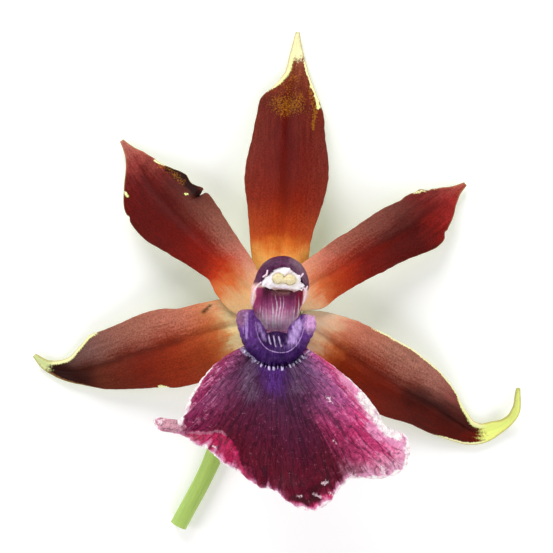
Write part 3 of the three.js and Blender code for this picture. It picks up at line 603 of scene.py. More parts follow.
def tepal(name, form, seed):
    u = np.linspace(0, 1, TEPAL_ROWS)[:, None]
    t = np.linspace(-1, 1, TEPAL_COLUMNS)
    s = (0.55 * np.sin(t * np.pi / 2) + 0.45 * t)[None, :]
    middle, ahead, length = along_curve(form["spine"], u[:, 0])
    face = unit(np.array([0, 0, 1.0]) - ahead * ahead[:, 2:])
    right = np.cross(ahead, face)
    reach = np.where(s < 0, profile(form["widths"], u, 1), profile(form["widths"], u, 2))

    edge = np.stack([u * length + 0 * s, np.sign(s) * EDGES_APART + 0 * u], -1)
    ragged = 0.06 * ripple(edge, 7, seed) + 0.03 * ripple(edge, 1.7, seed + 1)
    for at, side, depth, half_length in form["bites"]:
        ragged = ragged - depth * np.maximum(1 - np.abs(u - at) / half_length, 0) ** 0.8 * (s * side > 0)
    reach = reach + ragged * smooth(np.abs(s), 0.3, 1) * smooth(u, 0, 0.15) * smooth(u, 1, 0.9)

    across = s * reach
    flow = np.stack([u * length + 0 * s, across, 0 * across], -1)
    groove = bell(s, 0.15) * np.minimum(u * 8, 1) * (1 - u**6)
    veins = np.cos(2 * np.pi * across / TEPAL_VEINS + 0.8 * ripple(flow, 22, seed + 2))
    rise = -profile(form["arch"], u) * s**2 - form["groove"] * groove
    rise = rise + 0.2 * np.sin(u * 17 + np.where(s < 0, 0, 2)) * np.abs(s) ** 3 * np.sin(np.pi * u)
    rise = rise + TEPAL_VEIN_RISE * veins * smooth(np.abs(s), 1, 0.8) * smooth(u, 0, 0.1) * smooth(u, 1, 0.88)
    rise = rise + 0.08 * ripple(flow, 11, seed + 3) * smooth(u, 0.05, 0.3) * smooth(u, 1, 0.9)
    grid = middle[:, None] + right[:, None] * across[..., None] + face[:, None] * rise[..., None]

    to_edge = reach * (1 - np.abs(s))
    thick = TEPAL_MIDDLE + (TEPAL_MARGIN - TEPAL_MIDDLE) * s**2
    half = thick / 2 * rounded(to_edge, u * length, (1 - u) * length)
    points, quads, spread, side = sheet(grid, half)

    yellow, gold, dark = (marks(grid, form[key], 0.22) for key in ("yellow", "gold", "dark"))
    for way, start, end, width in form["rims"]:
        stretch = smooth(u, start - 0.04, start + 0.04) * smooth(u, end + 0.03, end - 0.03)
        yellow = np.maximum(yellow, bell(to_edge, width) * stretch * (s * way > 0))
    # lit: how far across towards the paler side, where sheen is painted; with no side, towards both edges.
    lit = form["bright"] * s if form["bright"] else 0.75 * np.abs(s) - 0.1
    looks = dict(along=u, rim=to_edge, groove=groove, lit=lit, yellow=yellow, gold=gold, dark=dark)
    values = {key: spread(value) for key, value in looks.items()}
    values["front"] = side
    values["flow"] = spread(flow) + np.c_[0 * side, 0 * side, 9 * side]  # the back has its own pattern
    piece(name + "_blade", points, quads, values, tepal_paint(name + "_skin", form), name)


# ---- lip

LIP_EDGE = [
    (-5.6, -5.6, 6.4), (-8.1, -6.4, 6.8), (-10.9, -8.5, 7.6), (-13.3, -11.3, 8), (-15.1, -14.4, 8),
    (-16.3, -17.3, 8), (-20.2, -16.8, 7.8), (-20.2, -18.2, 8), (-16, -19.4, 9), (-13.9, -21.1, 10),
    (-11.8, -21.8, 10.4), (-9.6, -23.7, 10.8), (-7, -25.1, 11), (-3.1, -27.7, 11.4), (-0.7, -28.3, 11.6),
    (1.4, -30, 12), (4.7, -31.2, 12.8), (7.6, -30.2, 12.4), (10.1, -27.7, 11.4), (11.6, -26.5, 11),
    (16.1, -26.5, 10.6), (20, -25.3, 10.2), (21.2, -22.7, 10), (20.9, -19.8, 9.6), (17.6, -18.3, 9),
    (16, -15.4, 8.4), (13.8, -12.7, 8), (10.9, -10.1, 7.6), (7.6, -7.6, 7), (3.9, -5.6, 6.4),
]
LIP_BOW = [
    (0, 0), (0.13, 0.1), (0.165, 0.7), (0.19, 2.2), (0.21, 3), (0.24, 2.6), (0.275, 1.5), (0.34, 0.3),
    (0.5, 0), (0.7, 0.2), (0.76, 0.7), (0.8, 1.2), (0.85, 0.5), (0.92, 0), (1, 0),
]
LIP_ROOT = dict(middle=(-0.7, -4.4, 6.0), reach=(3.4, 2.4))
LIP_CREST = 6.2
LIP_FRILL = 1.0
LIP_VEINS = 56
LIP_VEIN_RISE = 0.035                   # how far they stand out
LIP_LOBE = 0.565                        # the end lobe's place round the lip
LIP_HEART = (-0.7, -10, 8)              # its edge is ragged away from here
LIP_FOLD = [
    (0, 0), (0.25, 0.2), (0.275, 2), (0.3, 3.5), (0.34, 4.2), (0.37, 4.7), (0.39, 4.5), (0.41, 3),
    (0.43, 1.2), (0.5, 0.3), (1, 0),
]
LIP_PALE = [
    (0, 0.25), (0.06, 0.25), (0.1, 0.35), (0.14, 0.6), (0.17, 0.8), (0.2, 0.35), (0.27, 0.7), (0.36, 0.6),
    (0.5, 0.3), (0.62, 0.5), (0.68, 0.7), (0.73, 0.9), (0.77, 1), (0.81, 1.1), (0.85, 1), (0.89, 0.7),
    (0.935, 0.7), (0.97, 0.5), (1, 0.3),
]
LIP_MARGINS = [
    ([(9.8, -8.8), (11.4, -10.2), (13.3, -12.2)], 0.4),
    ([(13.4, -13.2), (14.1, -14.3), (14.8, -15.6)], 0.95),
    ([(14.8, -15.6), (16, -17.3), (17.4, -18.7), (19.4, -19.6)], 0.75), ([(-11, -8.6), (-13, -11)], 0.28),
    ([(-13, -11), (-14.4, -13.2), (-15.2, -15.2), (-15.7, -16.7), (-16, -17.3)], 0.46),
]
LIP_HALO = [(10.6, -10.2), (12.2, -11.9), (13.4, -13.5), (14.7, -15.9), (16.2, -18.2), (18.4, -20.2)]
LIP_CRESTS = [([(-6, -5.6), (-4.9, -6.6), (-3.7, -7.8)], 0.5), ([(2.4, -8.1), (3.8, -6.8), (4.8, -6.5)], 0.5)]
# Painted highlights: small pale glints on the lip, as lines of places and radii.
PAINTED_GLINTS = [
    ([(8.6, -19.8), (9.2, -20.3)], 0.14), ([(7.9, -13.2), (8.5, -13.9)], 0.3),
    ([(7, -26.5), (7.6, -26.7)], 0.28), ([(3.1, -28.9), (3.5, -29)], 0.16),
    ([(5.4, -28.6), (6.9, -29.2)], 0.18), ([(8, -28.4), (8.6, -28.7)], 0.18),
    ([(9.4, -27.8), (9.9, -28.2)], 0.4), ([(-10.6, -21), (-10.2, -21.1)], 0.22),
    ([(11.6, -25.8), (12.4, -26.1)], 0.35), ([(16.6, -24.4), (17.1, -26.2)], 0.32),
    ([(-19.8, -17.4), (-19.2, -17.6)], 0.4),
]


def lip_grid(u, v):
    angle = np.pi * (1 + v)
    root = np.stack([
        LIP_ROOT["middle"][0] + LIP_ROOT["reach"][0] * np.cos(angle),
        LIP_ROOT["middle"][1] + LIP_ROOT["reach"][1] * np.sin(angle),
        LIP_ROOT["middle"][2] + 0 * angle,
    ], -1)
    edge = curve_through(LIP_EDGE, v)
    grid = root + (edge - root) * u[..., None]
    centre = np.sin(np.pi * v)
    grid[..., 1] -= profile(LIP_BOW, v) * np.sin(np.pi * u**2.2)
    grid[..., 2] += LIP_CREST * (0.35 + 0.65 * centre) * np.sin(np.pi * u**0.85)
    grid[..., 2] += LIP_FRILL * centre * u**5 * np.sin(2 * np.pi * (7.5 * v + 0.35 * np.sin(2 * np.pi * v)))
    return grid, np.linalg.norm(edge - root, axis=-1)


def lip_blade():
    t = np.linspace(0, 1, LIP_ROWS)[:, None]
    u = 1 - (1 - t) ** 1.25 + np.zeros((1, LIP_COLUMNS))
    v = np.linspace(1, 0, LIP_COLUMNS)[None, :] + 0 * t
    grid, length = lip_grid(u, v)
    to_edge = (1 - u) * length

    fold = np.maximum(profile(LIP_FOLD, v), 0.05)           # the width of the margin that turns outwards
    over = np.clip(1 - to_edge / fold, 0, 1)
    deep = np.minimum(fold / 3.0, 1)
    grid[..., 2] += deep * (0.60 * bell(to_edge - fold, 0.8) - 1.3 * over**1.2)
    lobe = bell(v - LIP_LOBE, 0.045)                        # the end lobe curls up behind a hollow
    grid[..., 2] += lobe * (0.9 * smooth(u, 0.93, 1.0) - 1.1 * bell(u - 0.885, 0.05))
    flat = np.stack([v * 120, 6 * u], -1)                   # the lip spread out, for its waves and veins
    pucker = smooth(u, 0.72, 1.0) * smooth(v, 0.2, 0.3) * smooth(v, 0.8, 0.7)
    grid[..., 2] += 0.34 * pucker * ripple(flat, 4.2, 31)
    grid[..., 2] += 0.14 * smooth(u, 0.1, 0.4) * ripple(grid[..., :2], 7, 32)
    veins = np.cos(2 * np.pi * LIP_VEINS * v + 1.3 * ripple(flat, 30, 33) + 0.6 * ripple(flat, 7, 34))
    grid[..., 2] += LIP_VEIN_RISE * veins * smooth(u, 0.06, 0.2) * smooth(u, 1, 0.9)
    outward = unit(curve_through(LIP_EDGE, v) - np.array(LIP_HEART))
    jagged = 0.10 * ripple(flat, 2.6, 35) + 0.07 * ripple(flat, 1.2, 36)
    grid += (outward * [1, 1, 0]) * (jagged * u**8)[..., None]

    around = np.minimum(v, 1 - v) * 100 * u
    thick = LIP_MIDDLE + (LIP_MARGIN - LIP_MIDDLE) * u**2
    half = thick / 2 * rounded(to_edge, u * length, np.maximum(around, 0))
    points, quads, spread, side = sheet(grid, half)

    # Painted shade in the end lobe's hollows, near the lower right margin and just inside the ridge of the
    # outward-turned margin.
    hollow = np.max([
        near(grid, [(2.3, -29.2), (4.4, -29.8), (6.4, -29.5)], 0.7, 0.35),
        0.9 * near(grid, [(4.8, -28.0), (6.4, -27.0), (7.6, -26.6)], 0.7, 0.35),
        0.4 * near(grid, [(10.6, -25.4), (14.0, -23.4)], 0.5, 0.3),
        0.25 * deep * bell(to_edge - fold - 0.6, 0.35),
    ], axis=0)
    scallop = 1 + 0.45 * ripple(flat, 3.4, 37) * smooth(v, 0.18, 0.26) * smooth(v, 0.82, 0.76)
    pale = np.maximum(profile(LIP_PALE, v) * scallop, 0.2)
    looks = {
        "reach": u, "around": v, "rim": to_edge, "hollow": hollow,
        "fan": np.stack([v * 110, u * 7, 0 * u], -1),
        "flow": np.stack([grid[..., 0], grid[..., 1], 0 * u], -1),
        "white": np.maximum(bell(to_edge, pale), marks(grid, LIP_MARGINS)),
        "halo": np.maximum(bell(to_edge, 2 * pale) * smooth(v, 0.2, 0.26), near(grid, LIP_HALO, 1.3)),
        "crimson": deep * smooth(to_edge, fold + 0.2, fold - 0.2) + 0.8 * lobe * smooth(u, 0.92, 0.97),
        "ridge": deep * bell(to_edge - fold - 0.1, 0.22) * smooth(v, 0.40, 0.34),
        "flap": near(grid, [(-16.5, -17.9), (-20.4, -17.3)], 1.2),
        "crest": marks(grid, LIP_CRESTS, 0.3),
        "violet": near(grid, [(-0.9, -9), (-0.6, -11)], 1.8, 0.2),
        # painted sheen, greyish, on the lip near the callus
        "grey": near(grid, [(-4.6, -7.8), (-5, -9.6), (-4.7, -12.6)], 1.4, 0.2)
        + 0.8 * near(grid, [(2.6, -8.9), (2.9, -12)], 1.2, 0.2),
        "glint": marks(grid, PAINTED_GLINTS, 0.5),
    }
    values = {key: spread(value) for key, value in looks.items()}
    values["front"] = side
    piece("lip_blade", points, quads, values, lip_paint(), "lip")
    return grid + (unit(np.cross(np.gradient(grid, axis=1), np.gradient(grid, axis=0))) * half[..., None])


def lip_paint():
    p = Paint("lip_skin")
    fan, flow = p.mesh("fan", "Vector"), p.mesh("flow", "Vector")
    drift = p.noise(flow, 0.16, 3)
    streak = p.grit(fan, 0.5, 3, 0.55)
    fine = p.grit(fan, 1.5, 2, 0.6)
    mottle = p.grit(flow, 1.5, 3, 0.6)
    grain = p.grit(flow, 4.6, 2, 0.7)

    at = p.sum("reach", (streak, 0.07), (drift, 0.12), (mottle, 0.04), -0.115)
    centre = p.ramp(at, [
        (0, 18, 8, 32), (12, 27, 13, 32), (26, 30, 13, 27), (42, 33, 11, 23), (60, 35, 7, 18),
        (78, 38, 5, 14), (92, 42, 5, 16), (100, 60, 20, 35),
    ])
    left = p.ramp(at, [
        (0, 26, 13, 32), (12, 33, 16, 30), (24, 42, 20, 35), (40, 54, 25, 42), (62, 57, 16, 35),
        (82, 60, 15, 36), (94, 72, 34, 50), (100, 85, 60, 70),
    ])
    right = p.ramp(at, [
        (0, 32, 18, 40), (14, 50, 33, 50), (26, 59, 33, 52), (40, 69, 33, 55), (62, 86, 24, 49),
        (80, 98, 36, 62), (92, 100, 68, 82), (100, 98, 80, 88),
    ])
    turn = p.sum("around", (drift, 0.12), (streak, 0.03), (mottle, 0.02), -0.085)
    to_right, to_left = p.step(turn, 0.60, 0.79), p.step(turn, 0.40, 0.16)
    outer = p.math("MAXIMUM", to_right, to_left)
    tone = p.mix(to_left, p.mix(to_right, centre, right), left)
    # painted sheen: greyish lilac near the callus
    tone = p.over(tone, (41, 30, 41), 0, 1.2, "grey", (fine, 0.4), -0.2, share=0.8)
    tone = p.mix(p.times("violet", 0.85), tone, (37, 19, 53))
    tone = p.over(tone, (82, 60, 66), 0.2, 0.8, "flap", (mottle, 0.3), -0.15)
    vivid = p.shaded(p.mix(streak, (66, 5, 25), (80, 13, 40)), (mottle, 0.85, 1.1))
    tone = p.over(tone, vivid, 0.15, 0.7, "crimson", (streak, 0.2), (mottle, 0.15), -0.18)

    vein = p.math("MAXIMUM", p.lines(fan, 0.42, 0.07), p.lines(fan, 0.95, 0.075))
    tone = p.mix(p.times(vein, 0.62), tone, (16, 2, 10))
    dash = p.step(p.sum(streak, (fine, 0.8), (mottle, 0.45), (grain, 0.4), (outer, 0.16)), 1.50, 2.3)
    dash = p.times(p.times(dash, p.sum(0.16, (outer, 0.30))), p.step("reach", 0.20, 0.50))
    tone = p.mix(dash, tone, p.mix(outer, (52, 22, 34), (92, 62, 78)))
    glow = p.step(p.sum("halo", (streak, 0.55), (fine, 0.35), (mottle, 0.2), -0.55), 0.08, 0.95)
    tone = p.mix(p.times(p.times(glow, 0.80), p.step("halo", 0, 0.25)), tone, (92, 62, 78))
    white = p.mix(mottle, (97, 88, 92), (100, 99, 97))
    tone = p.over(tone, white, 0.25, 0.70, "white", (streak, 0.25), (mottle, 0.15), (fine, 0.2), -0.30)
    tone = p.over(tone, (84, 56, 66), 0.3, 0.9, "ridge", (mottle, 0.6), -0.3, share=0.4)
    tone = p.over(tone, (80, 73, 86), 0.35, 0.95, "crest", (fine, 0.5), (mottle, 0.5), -0.5, share=0.9)
    tone = p.over(tone, (97, 86, 90), 0.30, 0.06, "rim", (mottle, 0.22), -0.1, share=0.8)
    # painted shade in the hollows
    tone = p.over(tone, (29, 8, 13), 0.15, 0.9, "hollow", (mottle, 0.3), (fine, 0.3), -0.30)
    # painted highlights: the small pale glints
    tone = p.over(tone, (95, 84, 88), 0.30, 0.80, "glint", (grain, 0.6), (mottle, 0.3), -0.45, share=0.85)
    tone = p.shaded(tone, (mottle, 0.84, 1.14), (grain, 0.82, 1.18))

    tone = p.mix("front", p.mix(streak, (86, 70, 78), (68, 42, 56)), tone)
    height = p.sum((streak, 0.5), (mottle, 0.5), (grain, 0.5), (vein, -0.6))
    return p.finish(tone, p.sum(0.42, (mottle, 0.10)), height, 0.07, 0.08, (1.0, 0.3, 0.4), 0.08)


# ---- callus

CALLUS_MIDDLE = (-0.6, -1.5)
CALLUS_FOLDS = 34
FOLD_RISE = 0.05                        # of the fine folds round it
CALLUS_WALL = dict(
    spine=[
        (-5.5, 0.9, 9.8), (-5.3, -1.0, 9.2), (-4.6, -4.0, 8.6), (-2.9, -5.9, 8.4), (-0.7, -6.4, 8.4),
        (1.5, -6.0, 8.4), (3.3, -4.3, 8.6), (4.3, -1.8, 9.2), (4.7, 0.1, 9.8),
    ],
    wide=[(0, 1.3), (0.08, 1.7), (0.2, 1.45), (0.5, 1.7), (0.8, 1.45), (0.92, 1.7), (1, 1.2)],
    tall=[(0, 0.9), (0.1, 1.9), (0.25, 2.2), (0.5, 2.0), (0.75, 2.2), (0.9, 1.9), (1, 0.9)],
)
CALLUS_SEAT = dict(middle=(-0.4, -4.9, 6.6), reach=(3.7, 2.3, 1.9))
CALLUS_KEELS = [
    [(-1.75, -2.9, 7.7), (-1.6, -3.7, 8.25), (-1.4, -4.9, 8.65)],
    [(-0.95, -3, 7.7), (-0.85, -3.8, 8.25), (-0.65, -5.1, 8.65)],
    [(-0.1, -3, 7.7), (0.05, -3.8, 8.25), (0.25, -5.1, 8.65)],
    [(0.8, -2.9, 7.7), (0.85, -3.7, 8.25), (0.95, -4.9, 8.65)],
]
KEEL_MARKS = [
    ([(-1.78, -3.1), (-1.4, -4.5)], 0.15), ([(-0.9, -3.3), (-0.56, -4.9)], 0.15),
    ([(-0.08, -3.4), (0.34, -4.9)], 0.15),
]
CALLUS_CUSHIONS = [
    dict(
        line=[(3.7, -0.3, 8.9), (3.2, -1.1, 8.9), (2.7, -2.2, 8.8), (2.3, -3.6, 8.6), (1.6, -4.7, 8.4)],
        wide=[(0, 0.5), (0.25, 0.95), (0.5, 1.25), (0.75, 1.05), (1, 0.6)],
        tall=[(0, 0.8), (0.5, 1.35), (1, 0.7)],
    ),
    dict(
        line=[(-4.1, -0.3, 8.9), (-3.5, -1.2, 8.8), (-3.0, -2.4, 8.6), (-2.5, -3.6, 8.4), (-1.9, -4.6, 8.3)],
        wide=[(0, 0.4), (0.3, 0.65), (0.6, 0.85), (1, 0.5)],
        tall=[(0, 0.8), (0.5, 1.1), (1, 0.6)],
    ),
]
CALLUS_ARC = [
    (-3.8, -0.9), (-3.7, -2.2), (-3.3, -3.6), (-2.4, -4.9), (-1.3, -5.6), (0.2, -5.9), (1.5, -5.7),
    (2.5, -5), (3.2, -4.1), (3.8, -2.8), (4.1, -1.2),
]
CALLUS_FOOT = [
    (-5.9, -5.7), (-4.7, -6.8), (-3.6, -7.7), (-2.6, -8.3), (-1.3, -8.6), (0.1, -8.6), (1, -8.6), (2, -8.2),
    (3, -7.6), (4, -6.8), (4.9, -6),
]
FOOT_TEETH = 21
TOOTH_ROOT = 1.3                        # each tooth starts this far inside, in the callus


def height_over(points, line):
    """For each place of a line, the height of the nearest point of a grid, seen from the face."""
    flat = points.reshape(-1, 3)
    return np.array([flat[np.argmin(((flat[:, :2] - spot) ** 2).sum(1)), 2] for spot in line])


def about_callus(points):
    """The way to places from the callus' middle, 0 towards the lip's end, and their distance from it."""
    x, y = (points[..., k] - CALLUS_MIDDLE[k] for k in range(2))
    return np.arctan2(x, -y), np.hypot(x, y)


def callus(blade):
    pitch = 0.12
    low = (-8.2, -9.8, 3.4)
    p = lattice(low, (7.4, 3.2, 12.6), pitch)
    up = (0, 0, 1.0)
    body = bar(p, CALLUS_WALL["spine"], up, oval(CALLUS_WALL["wide"], CALLUS_WALL["tall"]))
    body = merge(body, ball(p, CALLUS_SEAT["middle"], CALLUS_SEAT["reach"]), 0.5)
    for cushion in CALLUS_CUSHIONS:
        body = merge(body, bar(p, cushion["line"], up, oval(cushion["wide"], cushion["tall"])), 0.3)
    keel = oval([(0, 0.14), (0.5, 0.24), (1, 0.14)], [(0, 0.3), (0.5, 0.5), (1, 0.3)])
    for line in CALLUS_KEELS:
        body = merge(body, bar(p, line, up, keel, 30), 0.12)
    foot_line = np.c_[np.array(CALLUS_FOOT), height_over(blade, CALLUS_FOOT)]
    foot, ahead, _ = along_curve(foot_line, np.linspace(0.02, 0.98, FOOT_TEETH))
    for k, (spot, way) in enumerate(zip(foot, ahead)):
        out = unit(np.array([way[1], -way[0], 0.0]))
        size = 0.18 + 0.05 * math.sin(k * 2.4) + 0.03 * math.sin(k * 5.1)
        reach = 0.45 + 0.25 * math.sin(k * 1.7) + 0.15 * math.sin(k * 4.3)
        tooth = [spot - out * TOOTH_ROOT, spot + [0, 0, 0.05], spot + out * reach]
        body = merge(body, bar(p, tooth, up, wire(size), 12), 0.14)
    turn, distance = about_callus(p)
    folds = np.cos(CALLUS_FOLDS * turn + 1.5 * ripple(p, 5, 43))
    body = body - FOLD_RISE * smooth(distance, 4.6, 6.0) * folds
    body = body + 0.035 * ripple(p, 2.8, 41) + 0.012 * ripple(p, 0.9, 42)
    points, quads = skin(body, low, pitch)
    points = relaxed(points, quads, 3)

    height = points[:, 2]
    high = smooth(height, 7.0, 10.5)
    arc_line = curve_through(CALLUS_ARC, np.linspace(0, 1, 41))
    # painted highlight along the callus' inner rim, where the surface is also lifted a little
    arc = near(points, arc_line, 0.11) * smooth(height, 7.6, 8.6)
    points[:, 2] += 0.05 * arc              # height follows, as it is a view of the points
    turn, _ = about_callus(points)
    values = {
        "spot": points, "arc": arc, "high": high, "limb": smooth(points[:, 1], -6.4, -1),
        "turn": np.c_[turn * 6, height * 0.6, 0 * arc],
        "keel": marks(points, KEEL_MARKS) * smooth(height, 7.4, 8.2),
        "left_ear": near(points, [(-6, 1), (-6.4, -0.6)], 1.3),
        "right_ear": near(points, [(5.4, 0.6), (5.2, -1.6)], 1.2),
        "tooth": near(points, CALLUS_FOOT, 0.55),
        "cushion": near(points, [(3.1, -1.2), (2.2, -3.8)], 0.9)
        + 0.5 * near(points, [(-3.5, -1.4), (-2.4, -3.8)], 0.5)
        + 0.2 * near(points, [(-0.9, -3.7), (0.5, -4.6)], 1.2),
        # painted highlights, in streaks along the left wall and the right ear
        "streaky": near(points, [(-5.5, 0.4), (-5.2, -3.2)], 0.45)
        + near(points, [(4.6, 0.1), (4.7, -1.9)], 0.4),
    }
    piece("lip_callus", points, quads, values, callus_paint(), "lip")


def callus_paint():
    p = Paint("callus_skin")
    spot = p.mesh("spot", "Vector")
    drift = p.noise(spot, 0.5, 3)
    mottle = p.grit(spot, 1.6, 3, 0.6)
    grain = p.grit(spot, 4.6, 2, 0.7)
    lines = p.grit(p.stretched(spot, 3.4, 0.7, 0.7), 1)
    folds = p.grit(p.mesh("turn", "Vector"), 1, 3, 0.6)
    threads = p.grit(p.stretched(spot, 6.5, 0.6, 0.6), 1)
    raised = p.step(p.sum(("high", 0.40), ("limb", 0.6), (drift, 0.5), (folds, 0.16), -0.36), 0.15, 1.0)
    tone = p.mix(raised, (15, 3, 27), (38, 20, 50))
    tone = p.over(tone, (76, 63, 86), 0.1, 1.0, "cushion", (lines, 0.3), -0.15, share=0.9)
    tone = p.over(tone, (55, 36, 51), 0.1, 1.0, "left_ear", (mottle, 0.2), -0.1)
    tone = p.over(tone, (82, 60, 80), 0.1, 0.95, "right_ear", (mottle, 0.2), -0.1)
    # painted highlights in streaks on the walls
    tone = p.over(tone, (74, 62, 84), 0.05, 0.8, "streaky", (threads, 1.0), (mottle, 0.3), -0.95, share=0.5)
    # painted highlight along the inner rim
    tone = p.over(tone, (76, 62, 84), 0.35, 0.9, "arc", (lines, 0.3), -0.15, share=0.6)
    tone = p.over(tone, (84, 76, 90), 0.25, 0.85, "keel", (lines, 0.2), -0.1, share=0.9)
    tone = p.over(tone, (80, 74, 88), 0.45, 0.8, "tooth", (mottle, 0.35), (grain, 0.2), -0.27)
    tone = p.shaded(tone, (mottle, 0.82, 1.18), (lines, 0.86, 1.14), (folds, 0.86, 1.14), (grain, 0.88, 1.12))
    height = p.sum((mottle, 0.5), (lines, 0.4), (folds, 0.4), (grain, 0.3))
    return p.finish(tone, p.sum(0.32, (mottle, 0.14)), height, 0.05, 0.10, (0.8, 0.3, 0.9), 0.11)


# ---- column, anther cap and pollinarium

COLUMN_MIDDLE = 0.2
COLUMN_AXIS = [
    (0, 0.0, -0.6), (-0.1, 0.1, 1.8), (-0.3, 0.6, 3.6), (-0.6, 1.8, 5.8), (-0.6, 3.2, 7.9), (-0.3, 4.6, 9.8),
]
COLUMN_WIDE = [(0, 2.5), (0.2, 2.6), (0.45, 3.6), (0.7, 4.2), (1, 4.5)]
COLUMN_BACK = [(0, 2.5), (0.2, 2.4), (0.6, 2.3), (1, 2.6)]
COLUMN_FACE = [(0, 2.5), (0.2, 2.5), (0.42, 3.7), (0.6, 3.5), (0.8, 3.0), (1, 2.6)]
FOOT_AXIS = [(0.1, 0, 1.7), (0.0, -2.6, 2.4), (-0.2, -4.6, 2.8), (-0.4, -6.0, 2.9)]
FOOT_REACH = (2.5, 0.95)
HOOD = dict(middle=(0.45, 5.1, 9.4), reach=(4.5, 4.85, 5.0))
HOOD_RIM = dict(point=(0, 6.2, 12.5), tilt=-0.3)
ANTHER = dict(middle=(0.5, 6.1, 11.9), reach=(3.15, 2.2, 1.35))
CAP_HALF = 1.08             # half the thickness of its plate
ANTHER_TAPER = 0.26         # the cap is narrower by this share at its top and wider at its bottom
ANTHER_SLANT = 0.12         # and its lower edge drops by this much to the right
MOUTH_RISE = 2              # the cap's hollow is cut once more this far in front, which opens the hood
TROUGH_HEIGHT = 7.3         # the trough down the column's face lies on the plane z = y + this
TROUGH_ENDS = (2, 15.9)
TROUGH_MIDDLE = [(2, -0.1), (5, -0.4), (8, -0.45), (10, -0.2), (11.5, 0.1), (16, 0.2)]
TROUGH_HALF = [(2, 2.2), (4, 2.7), (6, 3.3), (9, 3.8), (11.5, 3.7), (16, 3.6)]
STRIPES_APART = 0.5         # the pale ridges down the column's face
STRIPE_RISE = 0.03          # and how far they stand out
WING_RADIUS = 0.10          # the threads on the hood's rim
WINGS = [
    [(-1.9, 7.5), (-2, 6.9), (-2.6, 6.5)],
    [(-2.9, 5.6), (-3.4, 5.2), (-3.9, 4.6), (-4.2, 3.8), (-4.35, 2.8), (-4.4, 1.8)],
    [(3.9, 7), (3.5, 6.5), (3.1, 6.2)], [(3.6, 4.9), (4.1, 4.6), (4.4, 4.1), (4.2, 3.2), (4, 2.2)],
    [(4.3, 4.4), (4.6, 4.9)],
]
POLLINIA = [(-0.15, 6.25, 13.0), (1.75, 6.05, 13.0)]
POLLINIUM = (0.95, 0.85, 0.7)
PIT_GAP = 0.04              # between the pollen masses and their pits in the cap
POLLEN_STALK = dict(middle=(0.8, 5.95, 13.05), reach=(0.8, 0.45, 0.4))


def cap_places(p):
    """Places as they would be if the anther cap were a plain ellipsoid about its middle."""
    x, y, z = (p[..., k] - ANTHER["middle"][k] for k in range(3))
    up = np.clip(y / ANTHER["reach"][1], -1.2, 1.2)
    y = y + ANTHER_SLANT * x * np.clip(-up, 0, 1)
    return np.stack([x / (1 - ANTHER_TAPER * up), y, z], -1)


def trough(p):
    """How far places are past the trough's side and under its floor, and its half width at their height."""
    height = np.clip(p[..., 2], *TROUGH_ENDS)
    half = profile(TROUGH_HALF, height)
    aside = np.abs(p[..., 0] - profile(TROUGH_MIDDLE, height)) - half
    return aside, (p[..., 1] + TROUGH_HEIGHT - p[..., 2]) / math.sqrt(2), half


